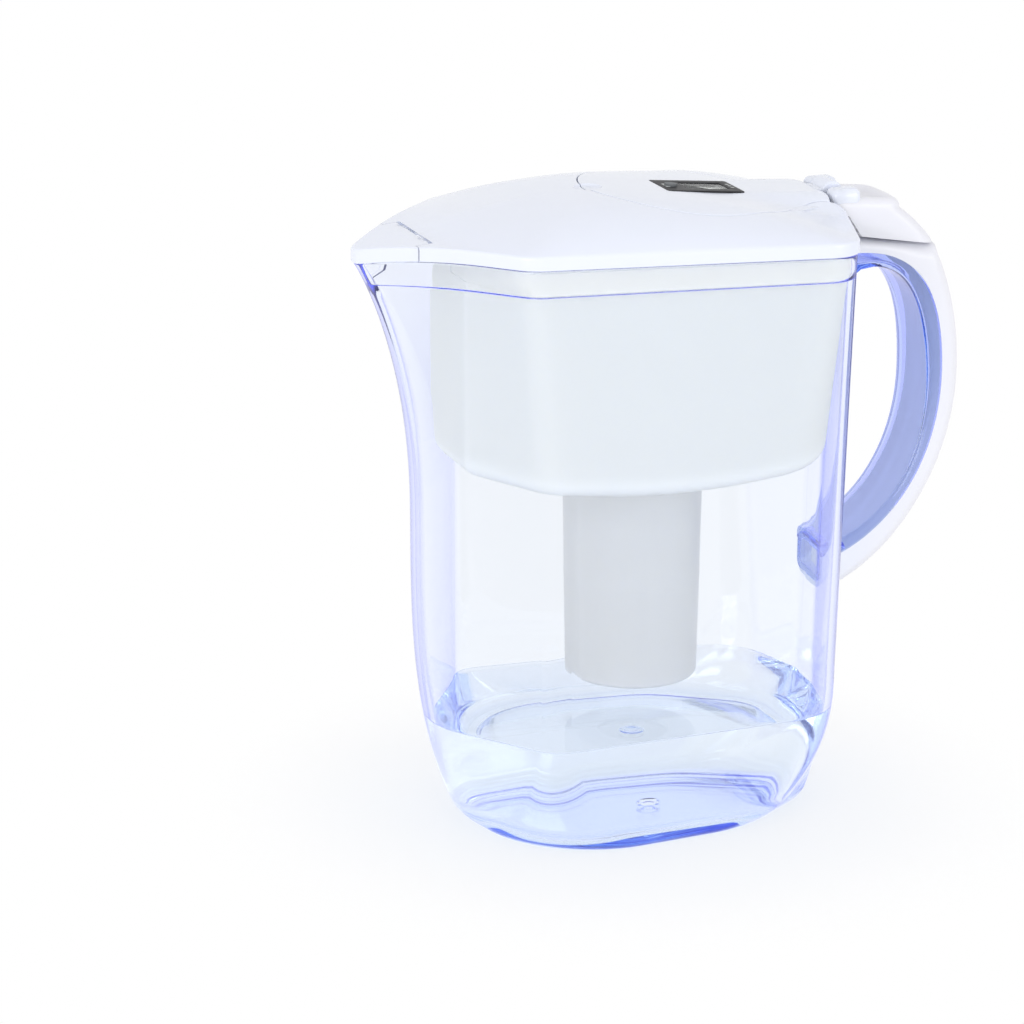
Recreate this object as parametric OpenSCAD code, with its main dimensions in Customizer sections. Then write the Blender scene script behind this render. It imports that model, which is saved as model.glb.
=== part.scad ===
// Water filter pitcher: a clear jug with a loop handle, a hopper that hangs inside it with a sleeve for
// the filter cartridge, and a lid with a flip-up filling door, a filter indicator and a spout flap.
// Origin on the underside of the jug, below the axis of the cartridge. The spout points along -X, the
// handle along +X, and +Z is up. Millimetres.

/* [Jug rim outline] */
// Height of the rim above the surface it stands on, at the cartridge axis
rim_h = 243.6; // [236:0.1:252]
// Rise of the rim towards the spout, per millimetre of length
rim_tilt = 0.019; // [0:0.001:0.03]
// Drop of the pouring lip at the tip of the spout
lip_drop = 5.3; // [0:0.1:7]
// Reach of the spout tip from the cartridge axis
rim_nose_x = -119.4; // [-126:0.1:-114]
// Radius of the spout tip
rim_nose_r = 5; // [4.5:0.1:8]
// Half of the flat at the spout tip
rim_nose_flat = 1; // [0.5:0.1:3]
// Place of the shoulder behind the spout
rim_shoulder_x = -53; // [-58:0.1:-48]
// Half width at the shoulder
rim_shoulder_w = 58.4; // [57:0.1:62]
// Radius of the shoulder
rim_shoulder_r = 28; // [20:0.5:32]
// Place of the rear corner
rim_corner_x = 58.5; // [54:0.1:62]
// Half width at the rear corner
rim_corner_w = 68.3; // [66:0.1:72]
// Radius of the rear corner
rim_corner_r = 14.5; // [10:0.5:18]
// Reach of the rear wall
rim_rear_x = 87; // [86:0.1:89]
// Half of the flat of the rear wall
rim_rear_flat = 8; // [4:0.5:12]
// Radius of the rear wall
rim_rear_r = 30; // [24:1:36]

/* [Jug belly outline] */
// Height up to which the spout side curves out from the base
belly_h = 130; // [120:1:140]
// Height up to which the flanks and the rear curve out from the base
flank_h = 60; // [50:1:70]
// Reach of the front of the belly
belly_nose_x = -94.3; // [-97:0.1:-92]
// Radius of the front of the belly
belly_nose_r = 30; // [24:1:34]
// Place of the widest part of the belly
belly_shoulder_x = -44; // [-48:0.5:-40]
// Half width of the belly
belly_shoulder_w = 60; // [58:0.1:61]
// Radius of the belly's front quarters
belly_shoulder_r = 26; // [22:1:30]
// Place of the belly's rear quarters
belly_corner_x = 50; // [46:0.5:54]
// Half width at the belly's rear quarters
belly_corner_w = 55.5; // [53:0.1:58]
// Radius of the belly's rear quarters
belly_corner_r = 27; // [22:1:30]
// Reach of the rear of the belly
belly_rear_x = 82; // [80:0.1:84]

/* [Jug base outline] */
// Reach of the front of the base
base_nose_x = -73.6; // [-76:0.1:-70]
// Radius of the front of the base
base_nose_r = 43.6; // [38:0.1:46]
// Place of the base's front quarters
base_shoulder_x = -20.8; // [-26:0.1:-16]
// Half width of the base at its front quarters
base_shoulder_w = 58.7; // [55:0.1:60]
// Radius of the base's front quarters
base_shoulder_r = 52.5; // [46:0.1:55]
// Place of the base's rear quarters
base_corner_x = 10.2; // [6:0.1:16]
// Half width of the base at its rear quarters
base_corner_w = 55.5; // [52:0.1:57]
// Radius of the base's rear quarters
base_corner_r = 49.6; // [44:0.1:52]
// Reach of the rear of the base
base_rear_x = 72; // [68:0.1:76]
// Radius of the edge between the walls and the underside
base_edge_r = 6; // [4:0.5:8]

/* [Jug walls] */
// Thickness of the walls
jug_wall = 3; // [2.6:0.1:3.2]
// Thickness of the walls above the ledge that carries the hopper
mouth_wall = 1.8; // [1.5:0.1:2]
// Depth of that ledge below the rim
ledge_drop = 10.5; // [9:0.5:12]
// Thickness of the floor
floor_t = 4.5; // [3.5:0.1:6]

/* [Handle] */
// Width of the handle
handle_w = 34; // [30:0.5:38]
// Reach of the outside of the handle
handle_reach = 141; // [139:0.5:144]
// Reach of that outside past the seam between the clear channel and its cover
seam_reach = 10; // [8:0.5:11]
// Reach of that seam past the inside of the grip
grip_reach = 6; // [5:0.5:8]
// Thickness of the clear channel
channel_t = 3; // [2.5:0.1:3.2]
// Thickness of the cover
cover_t = 2.4; // [2:0.1:3]
// Number of ribs across the channel that the cover clips to
clip_count = 2; // [1:1:4]

/* [Hopper] */
// Thickness of the hopper walls
hopper_wall = 2; // [1.6:0.1:2.2]
// Gap between the hopper and the jug
hopper_gap = 0.4; // [0.3:0.05:0.6]
// Place of the flat front of the hopper
hopper_front_x = -80; // [-81:0.5:-79.5]
// Half width of that flat front
hopper_front_w = 26; // [24:0.5:27]
// Radius of the hopper's upright front edges
hopper_front_r = 7; // [6.5:0.5:10]
// Height of the middle of the hopper's lower edge
hopper_low_z = 149.7; // [146:0.1:154]
// Half width of the hopper at its lower edge
hopper_low_w = 52; // [48:0.5:52.5]
// Reach of the rear of the hopper at its lower edge
hopper_low_rear_x = 72; // [69:0.5:73]

/* [Filter sleeve and cartridge] */
// Radius of the sleeve at its mouth, outside
sleeve_top_r = 28.2; // [27.8:0.1:29]
// Radius of the sleeve at its foot, outside
sleeve_foot_r = 26.5; // [26.4:0.1:27]
// Thickness of the sleeve
sleeve_t = 1.8; // [1.5:0.1:2]
// Height of the foot of the sleeve
sleeve_foot_z = 57.4; // [54:0.1:60]
// Radius of the outlet in the foot of the sleeve
outlet_r = 15; // [12:0.5:18]
// Radius of the cartridge below its flange
cartridge_r = 23.6; // [22.5:0.1:23.9]
// Length of the cartridge below its flange
cartridge_l = 82; // [76:0.5:83]
// Radius of the cartridge flange
flange_r = 28.6; // [28:0.1:30]
// Thickness of the cartridge flange
flange_t = 2.6; // [2:0.1:3.5]
// Height of the cartridge's cap above the flange
cap_h = 33; // [28:0.5:38]
// Radius of the knob on the cap
knob_r = 15; // [12:0.5:17]
// Radius of the cap's neck
neck_r = 8.4; // [7:0.1:10]
// Number of radial slots in the cap
slot_count = 28; // [16:1:32]

/* [Lid] */
// Overhang of the lid past the jug
lid_over = 0.8; // [0.4:0.1:1.2]
// Gap between the lid and the jug
lid_gap = 0.3; // [0.2:0.05:0.4]
// Thickness of the lid
lid_t = 2.2; // [2:0.1:2.5]
// Height of the upright band round the lid
band_h = 5.8; // [5:0.1:7]
// Highest point of the lid above the rim
crown_h = 19.7; // [18:0.1:21]
// Depth of the lid's skirt inside the hopper
skirt_h = 7; // [5:0.5:9]
// Half width of the lid's tail over the handle
tail_w = 17; // [15:0.5:18]
// Height of the tail's top above the jug's rim
tail_z = 11; // [10:0.1:11.8]

/* [Filling door] */
// Middle of the door's round part
door_x = 22.5; // [20:0.5:25]
// Radius of the door's round part
door_r = 44.5; // [42:0.5:46]
// Half width of the neck that reaches back to the hinge
door_neck_w = 19; // [17:0.5:21]
// Gap round the door
door_gap = 0.45; // [0.35:0.05:0.6]
// Width of the ledge under the edge of the door
door_ledge = 3; // [2.5:0.5:4]
// Place of the door's hinge
door_hinge_x = 84.5; // [84:0.1:85.5]
// Height of the door's hinge above the jug's rim
door_hinge_z = 10.4; // [10:0.1:11]
// Radius of the door's hinge barrel
door_barrel_r = 5; // [4.6:0.1:5.2]
// Length of the door's hinge barrel
door_barrel_l = 13; // [11:0.5:15]
// Radius of the door's hinge pin
door_pin_r = 1.5; // [1.2:0.1:1.8]

/* [Spout flap] */
// Place of the flap's hinge
flap_hinge_x = -95; // [-96:0.1:-94]
// Half length of the flap's hinge line
flap_hinge_w = 20.3; // [18:0.1:22]
// Place where the flap's sides leave the band of the lid
flap_side_x = -100.2; // [-102:0.1:-99]
// Gap round the flap
flap_gap = 0.35; // [0.3:0.05:0.5]
// Radius of the flap's hinge pin
flap_pin_r = 0.75; // [0.6:0.05:0.9]
// Radius of the flap's hinge knuckles
flap_knuckle_r = 1.7; // [1.5:0.05:1.8]

/* [Indicator] */
// Middle of the indicator
display_x = 27; // [24:0.5:30]
// Length of the display
display_l = 34; // [30:0.5:36]
// Width of the display
display_w = 22; // [18:0.5:24]
// Width of the display's frame beside the window
bezel_w = 1.6; // [1.2:0.1:2.4]
// Thickness of the window
window_t = 1; // [0.8:0.1:1.4]
// Depth of the tray below the door
tray_h = 8.6; // [8:0.1:10]
// Thickness of the tray
tray_t = 1.4; // [1.2:0.1:1.8]
// Radius of the reset button
button_r = 2.6; // [2:0.1:3]
// Place of the reset button, from the middle of the display
button_x = -11.5; // [-12.5:0.1:-11]
// Radius of the coin cell
cell_r = 8; // [7:0.1:8.5]
// Thickness of the coin cell
cell_t = 2; // [1.6:0.1:2.2]
// Radius of the heads of the tray's screws
screw_head_r = 1.9; // [1.6:0.1:2.2]

/* [Smoothness] */
// Steps in each quarter of an outline
arc_steps = 6; // [4:1:7]

/* [Hidden] */
$fn = 64;

epsilon = 0.01;
pin_gap = 0.05;
seat_gap = 0.3;

// ---------------------------------------------------------------- outlines and skins

// Circles [x, y, r] of half an outline, from the spout round to the rear
rim_circles = [
    [rim_nose_x + rim_nose_r, rim_nose_flat, rim_nose_r],
    [rim_shoulder_x, rim_shoulder_w - rim_shoulder_r, rim_shoulder_r],
    [rim_corner_x, rim_corner_w - rim_corner_r, rim_corner_r],
    [rim_rear_x - rim_rear_r, rim_rear_flat, rim_rear_r]
];
belly_circles = [
    [belly_nose_x + belly_nose_r, 2 * rim_nose_flat, belly_nose_r],
    [belly_shoulder_x, belly_shoulder_w - belly_shoulder_r, belly_shoulder_r],
    [belly_corner_x, belly_corner_w - belly_corner_r, belly_corner_r],
    [belly_rear_x - rim_rear_r, rim_rear_flat, rim_rear_r]
];
base_circles = [
    [base_nose_x + base_nose_r, 2 * rim_nose_flat, base_nose_r],
    [base_shoulder_x, base_shoulder_w - base_shoulder_r, base_shoulder_r],
    [base_corner_x, base_corner_w - base_corner_r, base_corner_r],
    [base_rear_x - rim_rear_r, rim_rear_flat, rim_rear_r]
];

// Steps along each of the four arcs of half an outline
steps = [ceil(arc_steps / 2), arc_steps, arc_steps, arc_steps - 1];

function mix(a, b, t) = a + (b - a) * t;
function clamp01(t) = max(0, min(1, t));

// Angle of the outward normal of the line that touches circle a and then circle b
function normal_angle(a, b) = let (d = [b.x - a.x, b.y - a.y])
    atan2(d.y, d.x) + 90 - asin((a.z - b.z) / norm(d));

flank_steps = 3;
function on_circle(c, inset, angle) = [c.x + (c.z - inset) * cos(angle), c.y + (c.z - inset) * sin(angle)];

// Half of the outline round a list of circles, shrunk by inset; the long flank is divided
function half_outline(circles, inset = 0) = let (
        last = len(circles) - 1,
        turns = [180, for (i = [0:1:last - 1]) normal_angle(circles[i], circles[i + 1]), 0])
    [for (i = [0:1:last]) each concat(
        [for (k = [0:1:steps[i]]) on_circle(circles[i], inset, mix(turns[i], turns[i + 1], k / steps[i]))],
        i != 1 ? [] : [for (k = [1:1:flank_steps]) mix(on_circle(circles[i], inset, turns[i + 1]),
            on_circle(circles[i + 1], inset, turns[i + 1]), k / (flank_steps + 1))])];

// The whole outline, clockwise from the spout when seen from above
function outline(circles, inset = 0) = let (half = half_outline(circles, inset))
    concat(half, [for (i = [len(half) - 1:-1:0]) [half[i].x, -half[i].y]]);

// Points of an outline lifted to the height that a function of x and y would give
function flat_ring(points, z) = [for (p = points) [p.x, p.y, z]];

// Solid skinned over rings of points, capped at both ends or closed on itself
module skin(rings, closed = false) {
    n = len(rings[0]);
    m = len(rings);
    points = [for (ring = rings) each ring];
    sides = [for (i = [0:1:closed ? m - 1 : m - 2]) for (j = [0:1:n - 1])
        let (up = ((i + 1) % m) * n, next = (j + 1) % n)
        each [[i * n + j, i * n + next, up + next], [i * n + j, up + next, up + j]]];
    caps = closed ? [] : [[for (j = [n - 1:-1:0]) j], [for (j = [0:1:n - 1]) (m - 1) * n + j]];
    polyhedron(points, concat(sides, caps));
}

// ---------------------------------------------------------------- jug shape

front_power = 3.2;
flank_power = 2.4;
flare_power = 2.2;
lip_start_x = -80;

// How far a wall has curved out from the base outline to the belly outline at height z
function spread(z, h, power) = 1 - pow(1 - min(max(z, 0), h) / h, power);
// How far the spout has flared from the belly outline to the rim outline
function flare(z) = pow(clamp01((z - belly_h) / (rim_h - belly_h)), flare_power);
// How far the flanks and rear have opened from the belly outline to the rim outline
function open_up(z) = clamp01((z - flank_h) / (rim_h - flank_h));

// Circles of the jug's outline at height z
function jug_circles(z) = let (
        low = [spread(z, belly_h, front_power), for (i = [1:1:3]) spread(z, flank_h, flank_power)],
        high = [flare(z), flare(z), open_up(z), open_up(z)])
    [for (i = [0:1:3]) mix(base_circles[i], belly_circles[i], low[i])
        + (rim_circles[i] - belly_circles[i]) * high[i]];

// Height of the rim at x, above its height at the cartridge axis
function rim_rise(x) = -rim_tilt * x
    - lip_drop * pow(max(0, (lip_start_x - x) / (lip_start_x - rim_nose_x)), 2);
function rim_z(x) = rim_h + rim_rise(x);

// A ring at height z that bends with the rim as it nears it
rise_power = 8;
function lift(x, z) = rim_rise(x) * pow(z / rim_h, rise_power);
function jug_ring(z, inset) = [for (p = outline(jug_circles(z), inset)) [p.x, p.y, z + lift(p.x, z)]];

// Inset of a rounded lower edge of radius r at height z above its foot
function edge_inset(z, r) = z >= r ? 0 : r - sqrt(r * r - (r - z) * (r - z));

edge_levels = [for (a = [0:22.5:67.5]) base_edge_r * (1 - cos(a))];
low_levels = [for (i = [0:1:8]) mix(base_edge_r, belly_h, pow(i / 8, 1.5))];
high_levels = [for (i = [1:1:11]) mix(belly_h, rim_h, i / 11)];
outer_levels = concat(edge_levels, low_levels, high_levels);
inner_levels = [for (z = concat(low_levels, high_levels)) if (z > floor_t + base_edge_r && z < rim_h - ledge_drop) z];

module jug_shell() {
    outer = [for (z = outer_levels) jug_ring(z, edge_inset(z, base_edge_r))];
    mouth = [for (z = [rim_h, rim_h - ledge_drop]) jug_ring(z, mouth_wall)];
    ledge = [jug_ring(rim_h - ledge_drop, jug_wall)];
    inner = [for (i = [len(inner_levels) - 1:-1:0]) jug_ring(inner_levels[i], jug_wall)];
    hollow = [for (i = [len(edge_levels) - 1:-1:0]) let (z = edge_levels[i])
        flat_ring(outline(jug_circles(z + floor_t), jug_wall + edge_inset(z, base_edge_r)), z + floor_t)];
    skin(concat(outer, mouth, ledge, inner, hollow));
}

// ---------------------------------------------------------------- handle shape

curve_steps = 14;
tail_top_z = rim_h + tail_z;
hinge_z = rim_h + door_hinge_z;
// Height of the top of the seam between cover and channel, and of the outside where the lid's tail ends
seam_top_z = rim_h - 13.1;
seam_foot_z = 102;
handle_mid_z = mix(seam_foot_z, seam_top_z, 0.5914);
seam_rise = 1.5;
grip_top_z = seam_top_z - 7;
grip_foot_z = seam_foot_z + 5.5;
grip_mid_z = mix(grip_foot_z, grip_top_z, 0.5647);
outside_foot_z = 86.5;
edge_drop = 0.6;
// How deep the handle's ends reach into the jug's wall
root = 2;
handle_root_x = belly_rear_x + root;
seam_x = handle_reach - seam_reach;
grip_x = seam_x - grip_reach;
// A share of the way from the jug out to x
function way(share, x) = mix(handle_root_x, x, share);
outside_top_x = way(0.5088, handle_reach);
outside_top_z = tail_top_z - edge_drop;

function bezier(a, b, c, d) = [for (i = [0:1:curve_steps]) let (t = i / curve_steps, s = 1 - t)
    s * s * s * a + 3 * s * s * t * b + 3 * s * t * t * c + t * t * t * d];
function tail_of(list) = [for (i = [1:1:len(list) - 1]) list[i]];
function reversed(list) = [for (i = [len(list) - 1:-1:0]) list[i]];
// A path moved sideways by d, to the left of its direction
function offset_path(path, d) = [for (i = [0:1:len(path) - 1])
    let (a = path[max(0, i - 1)], b = path[min(len(path) - 1, i + 1)], v = (b - a) / norm(b - a))
    path[i] + d * [-v.y, v.x]];

// Place of the jug's rear wall at height z, outside
function rear_x(z) = let (c = jug_circles(z)[3]) c.x + c.z;

// Inside of the grip, the seam and the outside, from the top down
grip_path = concat(
    bezier([way(0.3415, grip_x), grip_top_z], [way(0.7805, grip_x), grip_top_z],
        [grip_x, mix(grip_mid_z, grip_top_z, 0.693)], [grip_x, grip_mid_z]),
    tail_of(bezier([grip_x, grip_mid_z], [grip_x, mix(grip_mid_z, grip_foot_z, 0.519)],
        [way(0.5854, grip_x), mix(grip_mid_z, grip_foot_z, 0.8855)], [handle_root_x, grip_foot_z])));
seam_path = concat(
    bezier([handle_root_x + root, seam_top_z], [way(0.5957, seam_x), seam_top_z + seam_rise],
        [seam_x, mix(handle_mid_z, seam_top_z, 0.819)], [seam_x, handle_mid_z]),
    tail_of(bezier([seam_x, handle_mid_z], [seam_x, mix(handle_mid_z, seam_foot_z, 0.4868)],
        [way(0.5957, seam_x), mix(handle_mid_z, seam_foot_z, 0.8553)], [handle_root_x, seam_foot_z])));
outside_path = concat(
    bezier([outside_top_x, outside_top_z], [way(0.7544, handle_reach), mix(handle_mid_z, outside_top_z, 0.8026)],
        [handle_reach, mix(handle_mid_z, outside_top_z, 0.4605)], [handle_reach, handle_mid_z]),
    tail_of(bezier([handle_reach, handle_mid_z], [handle_reach, mix(handle_mid_z, outside_foot_z, 0.4044)],
        [way(0.6316, handle_reach), mix(handle_mid_z, outside_foot_z, 0.8415)], [handle_root_x, outside_foot_z])));

// Top of the cover, where the lid's tail ends, as a height for each x
tail_clear_x = 88.5;
tail_seam_front_z = rim_h - 5.3;
tail_seam_rear_z = rim_h - 12.6;
function tail_seam(x) = mix(tail_seam_front_z, tail_seam_rear_z, (x - tail_clear_x) / (seam_x - tail_clear_x));

web_z = grip_top_z - 7.5;
web_rise = 3.5;

// An upright slab: a side view [x, z] given thickness w across the handle
module slab(points, w) {
    rotate([90, 0, 0])
        linear_extrude(height = w, center = true)
            polygon(points);
}

module handle_channel() {
    top_x = rear_x(seam_top_z) - root;
    low_x = rear_x(seam_foot_z) - root;
    difference() {
        slab(concat([[top_x, seam_top_z], [top_x, web_z], [rear_x(web_z) + 2 * root, web_z + web_rise]], grip_path,
            [[low_x, grip_foot_z], [low_x, seam_foot_z - edge_drop]], reversed(seam_path)), handle_w);
        slab(concat([[rear_x(grip_top_z) + channel_t, seam_top_z + channel_t]],
            [[rear_x(grip_top_z) + channel_t, grip_top_z + channel_t]],
            offset_path(grip_path, channel_t), [[rear_x(seam_foot_z) + channel_t, seam_foot_z]],
            reversed(offset_path(seam_path, root))), handle_w - 2 * channel_t);
    }
}

clip_t = 2;
module channel_clips() {
    for (i = [1:1:clip_count]) {
        p = grip_path[round(mix(curve_steps * 0.3, curve_steps * 1.8, i / (clip_count + 1)))];
        translate([p.x + channel_t - clip_t / 4, 0, p.y])
            cube([clip_t * 1.5, handle_w - channel_t, clip_t], center = true);
    }
}

module jug_body() {
    color([0.72, 0.75, 0.98, 0.45]) {
        union() {
            jug_shell();
            handle_channel();
            channel_clips();
        }
    }
}

cover_side = [for (p = outside_path) if (p.y < tail_seam(p.x) - lid_gap) p];
cover_gap = 0.12;
module handle_cover() {
    start = cover_side[0];
    top_x = rear_x(seam_top_z) + seat_gap;
    low_x = rear_x(seam_foot_z) + seat_gap;
    seam = offset_path(seam_path, cover_gap);
    inner = [for (i = [len(seam) - 1:-1:0]) if (seam[i].x > (i > curve_steps ? low_x : top_x) + cover_gap) seam[i]];
    color([0.93, 0.93, 0.95])
        difference() {
            slab(concat([[top_x, tail_seam(top_x) - lid_gap]], [[start.x, tail_seam(start.x) - lid_gap]],
                cover_side, [[low_x, outside_foot_z]], [[low_x, seam_foot_z - edge_drop]], inner,
                [[top_x, seam_top_z + seat_gap]]), handle_w);
            slab(concat([[top_x + cover_t, tail_seam(top_x) - lid_gap - cover_t]],
                [for (p = offset_path(cover_side, -cover_t)) if (p.y < tail_seam(p.x) - lid_gap - cover_t) p],
                [[low_x + cover_t, outside_foot_z + 2 * cover_t]],
                [for (p = reversed(offset_path(seam_path, -channel_t))) if (p.x > low_x + cover_t) p],
                [[top_x + cover_t, seam_top_z - channel_t]]), handle_w - 2 * cover_t);
        }
}

// ---------------------------------------------------------------- hopper

// Circles of the hopper's outline; its front is flat, so that the spout stays open
hopper_front_circle = [hopper_front_x + hopper_front_r, hopper_front_w - hopper_front_r, hopper_front_r];
hopper_low_circles = [
    hopper_front_circle,
    [belly_shoulder_x, hopper_low_w - belly_shoulder_r, belly_shoulder_r],
    [belly_corner_x - 3, hopper_low_w - belly_corner_r + 2, belly_corner_r],
    [hopper_low_rear_x - rim_rear_r, rim_rear_flat, rim_rear_r]
];
function inside_jug(z, d) = let (c = jug_circles(z))
    concat([hopper_front_circle], [for (i = [1:1:3]) c[i] - [0, 0, d]]);
hopper_top_circles = inside_jug(rim_h - ledge_drop, jug_wall + hopper_gap);
mouth_circles = inside_jug(rim_h, mouth_wall + hopper_gap);
function hopper_circles(t) = [for (i = [0:1:3]) mix(hopper_low_circles[i], hopper_top_circles[i], t)];

// Height of the hopper's lower edge, lowest beside the sleeve
low_edge_front = 8;
low_edge_rear = 8;
function low_edge(x) = hopper_low_z - 1
    + low_edge_front * pow(clamp01(x / hopper_front_x), 1.6)
    + low_edge_rear * pow(clamp01(x / hopper_low_rear_x), 2);

// A ring of the hopper a share t of the way from its lower edge to the ledge
function hopper_ring(t, inset) = [for (p = outline(hopper_circles(t), inset))
    [p.x, p.y, mix(low_edge(p.x), rim_h - ledge_drop + lift(p.x, rim_h - ledge_drop), t)]];
// A ring of its collar, which stands on the ledge and follows the draft of the jug's mouth
function mouth_ring(inset, z) = [for (p = outline(inside_jug(min(z, rim_h), mouth_wall + hopper_gap), inset))
    [p.x, p.y, z + lift(p.x, z)]];

hopper_levels = [0, 0.08, 0.2, 0.35, 0.5, 0.65, 0.8, 0.92, 1];
hopper_edge_r = 5;
mouth_drop = 0.4;
sleeve_mouth_z = hopper_low_z - 9;
floor_shares = [1, 0.66, 0.33, 0];
seat_z = sleeve_mouth_z + hopper_wall;
seat_r = flange_r + seat_gap;
sleeve_foot_t = 2;
sleeve_edge = 1.5;
ring_count = len(outline(hopper_low_circles));
// A round ring with as many points as the outlines have
function round_ring(r, z) = [for (j = [0:1:ring_count - 1]) let (a = 180 - 360 * (j + 0.5) / ring_count)
    [r * cos(a), r * sin(a), z]];
// A ring of the sloping floor, which falls to the sleeve
function floor_ring(share, r, dz) = let (far = outline(hopper_circles(0), hopper_edge_r), near = round_ring(r, 0))
    [for (j = [0:1:ring_count - 1]) [mix(far[j].x, near[j].x, share), mix(far[j].y, near[j].y, share),
        mix(low_edge(far[j].x) - hopper_edge_r / 3, sleeve_mouth_z, share) + dz]];

module hopper() {
    ledge_z = rim_h - ledge_drop + seat_gap;
    collar_z = rim_h - 2 * mouth_drop;
    levels = [for (i = [1:1:len(hopper_levels) - 1]) hopper_levels[i]];
    inner_top_r = sleeve_top_r - sleeve_t;
    inner_foot_r = sleeve_foot_r - sleeve_t;
    color([0.9, 0.9, 0.97, 0.7])
        skin(concat(
            [round_ring(outlet_r, sleeve_foot_z + sleeve_foot_t), round_ring(outlet_r, sleeve_foot_z)],
            [round_ring(sleeve_foot_r - sleeve_edge, sleeve_foot_z)],
            [round_ring(sleeve_foot_r, sleeve_foot_z + sleeve_edge)],
            [for (share = floor_shares) floor_ring(share, sleeve_top_r, 0)],
            [hopper_ring(0, hopper_edge_r / 3)],
            [for (t = levels) hopper_ring(t, 0)],
            [mouth_ring(0, ledge_z), mouth_ring(0, collar_z)],
            [mouth_ring(hopper_wall, collar_z), mouth_ring(hopper_wall, ledge_z + hopper_wall)],
            [for (t = reversed(levels)) hopper_ring(t, hopper_wall)],
            [for (share = reversed(floor_shares)) floor_ring(share, seat_r, hopper_wall)],
            [round_ring(inner_top_r, seat_z)],
            [round_ring(inner_foot_r, sleeve_foot_z + sleeve_foot_t)]), true);
}

// ---------------------------------------------------------------- cartridge

gasket_t = 1.5;
gasket_w = 2;
flange_z = seat_z + gasket_t + 2 * pin_gap;
module sleeve_gasket() {
    color([0.85, 0.85, 0.87])
        translate([0, 0, flange_z - pin_gap - gasket_t])
            difference() {
                cylinder(h = gasket_t, r = sleeve_top_r);
                translate([0, 0, -epsilon])
                    cylinder(h = gasket_t + 2 * epsilon, r = sleeve_top_r - gasket_w);
            }
}

shell_t = 1.6;
foot_z = flange_z - cartridge_l;
key_w = 7;
key_h = cartridge_l * 0.62;
notch_count = 6;
notch_w = 5;
notch_h = 6;
module cartridge_shell() {
    floor_z = foot_z + notch_h + shell_t;
    color([0.94, 0.94, 0.96])
        difference() {
            rotate_extrude()
                polygon([
                    [0, foot_z + notch_h], [cartridge_r - 3 * shell_t, foot_z + notch_h],
                    [cartridge_r - 3 * shell_t, foot_z], [cartridge_r - shell_t, foot_z],
                    [cartridge_r, flange_z - 2 * shell_t], [cartridge_r, flange_z], [flange_r, flange_z],
                    [flange_r, flange_z + flange_t], [cartridge_r - shell_t, flange_z + flange_t],
                    [cartridge_r - shell_t, flange_z - 2 * shell_t], [cartridge_r - 2 * shell_t, floor_z],
                    [0, floor_z]
                ]);
            for (i = [0:1:notch_count - 1])
                rotate([0, 0, 360 * i / notch_count])
                    translate([cartridge_r - 4 * shell_t, -notch_w / 2, foot_z - epsilon])
                        cube([5 * shell_t, notch_w, notch_h * 0.6]);
            rotate([0, 0, 180 / notch_count])
                translate([cartridge_r - shell_t / 2, -key_w / 2, foot_z - epsilon])
                    cube([shell_t, key_w, key_h]);
            for (i = [0:1:slot_count - 1])
                rotate([0, 0, 360 * i / slot_count])
                    translate([cartridge_r * 0.45, 0, foot_z + notch_h - epsilon])
                        cylinder(h = 2 * shell_t, r = 0.7);
        }
}

cap_z = flange_z + flange_t;
cap_skirt_h = 8;
knob_h = 4;
cap_t = 1.6;
module cartridge_cap() {
    top = cap_z + cap_h;
    neck = bezier([cartridge_r + 1, cap_z + cap_skirt_h], [cartridge_r - 6, cap_z + cap_skirt_h + 4],
        [neck_r, cap_z + cap_h * 0.4], [neck_r, cap_z + cap_h * 0.62]);
    flare_out = tail_of(bezier([neck_r, cap_z + cap_h * 0.62], [neck_r, top - knob_h - 4],
        [knob_r - 4, top - knob_h - 1], [knob_r, top - knob_h]));
    color([0.95, 0.95, 0.97])
        difference() {
            rotate_extrude()
                polygon(concat(
                    [[cartridge_r + 1 - cap_t, cap_z + pin_gap], [cartridge_r + 1, cap_z + pin_gap]],
                    neck, flare_out,
                    [[knob_r, top - 1], [knob_r - 1, top], [neck_r - cap_t, top]],
                    [for (p = reversed(neck)) [max(neck_r - cap_t, p.x - cap_t), p.y - cap_t / 2]]));
            for (i = [0:1:slot_count - 1])
                rotate([0, 0, 360 * i / slot_count])
                    translate([neck_r + cap_t, -0.6, cap_z + cap_skirt_h - 1])
                        cube([cartridge_r, 1.2, cap_h * 0.25]);
        }
}

module vent_screen() {
    color([0.8, 0.8, 0.85])
        translate([0, 0, cap_z + cap_h - knob_h])
            difference() {
                cylinder(h = 1, r = neck_r - cap_t - pin_gap);
                for (i = [0:1:5])
                    rotate([0, 0, 60 * i])
                        translate([neck_r * 0.5, 0, -epsilon])
                            cylinder(h = 1 + 2 * epsilon, r = 1.2);
            }
}

bed_r = cartridge_r - 2 * shell_t - seat_gap;
bed_z = foot_z + notch_h + shell_t + seat_gap;
felt_t = 2;
bed_top = flange_z - 4;
module felt(z) {
    color([0.85, 0.85, 0.83])
        translate([0, 0, z])
            cylinder(h = felt_t, r = bed_r);
}
module media_bottom_screen() {
    felt(bed_z);
}
module media_top_screen() {
    felt(bed_top - felt_t);
}
module cartridge_media() {
    color([0.2, 0.2, 0.2])
        translate([0, 0, bed_z + felt_t + pin_gap])
            cylinder(h = bed_top - bed_z - 2 * felt_t - 2 * pin_gap, r = bed_r);
}

// ---------------------------------------------------------------- lid

crown_x = -10;
crown_power = 3.4;
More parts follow.
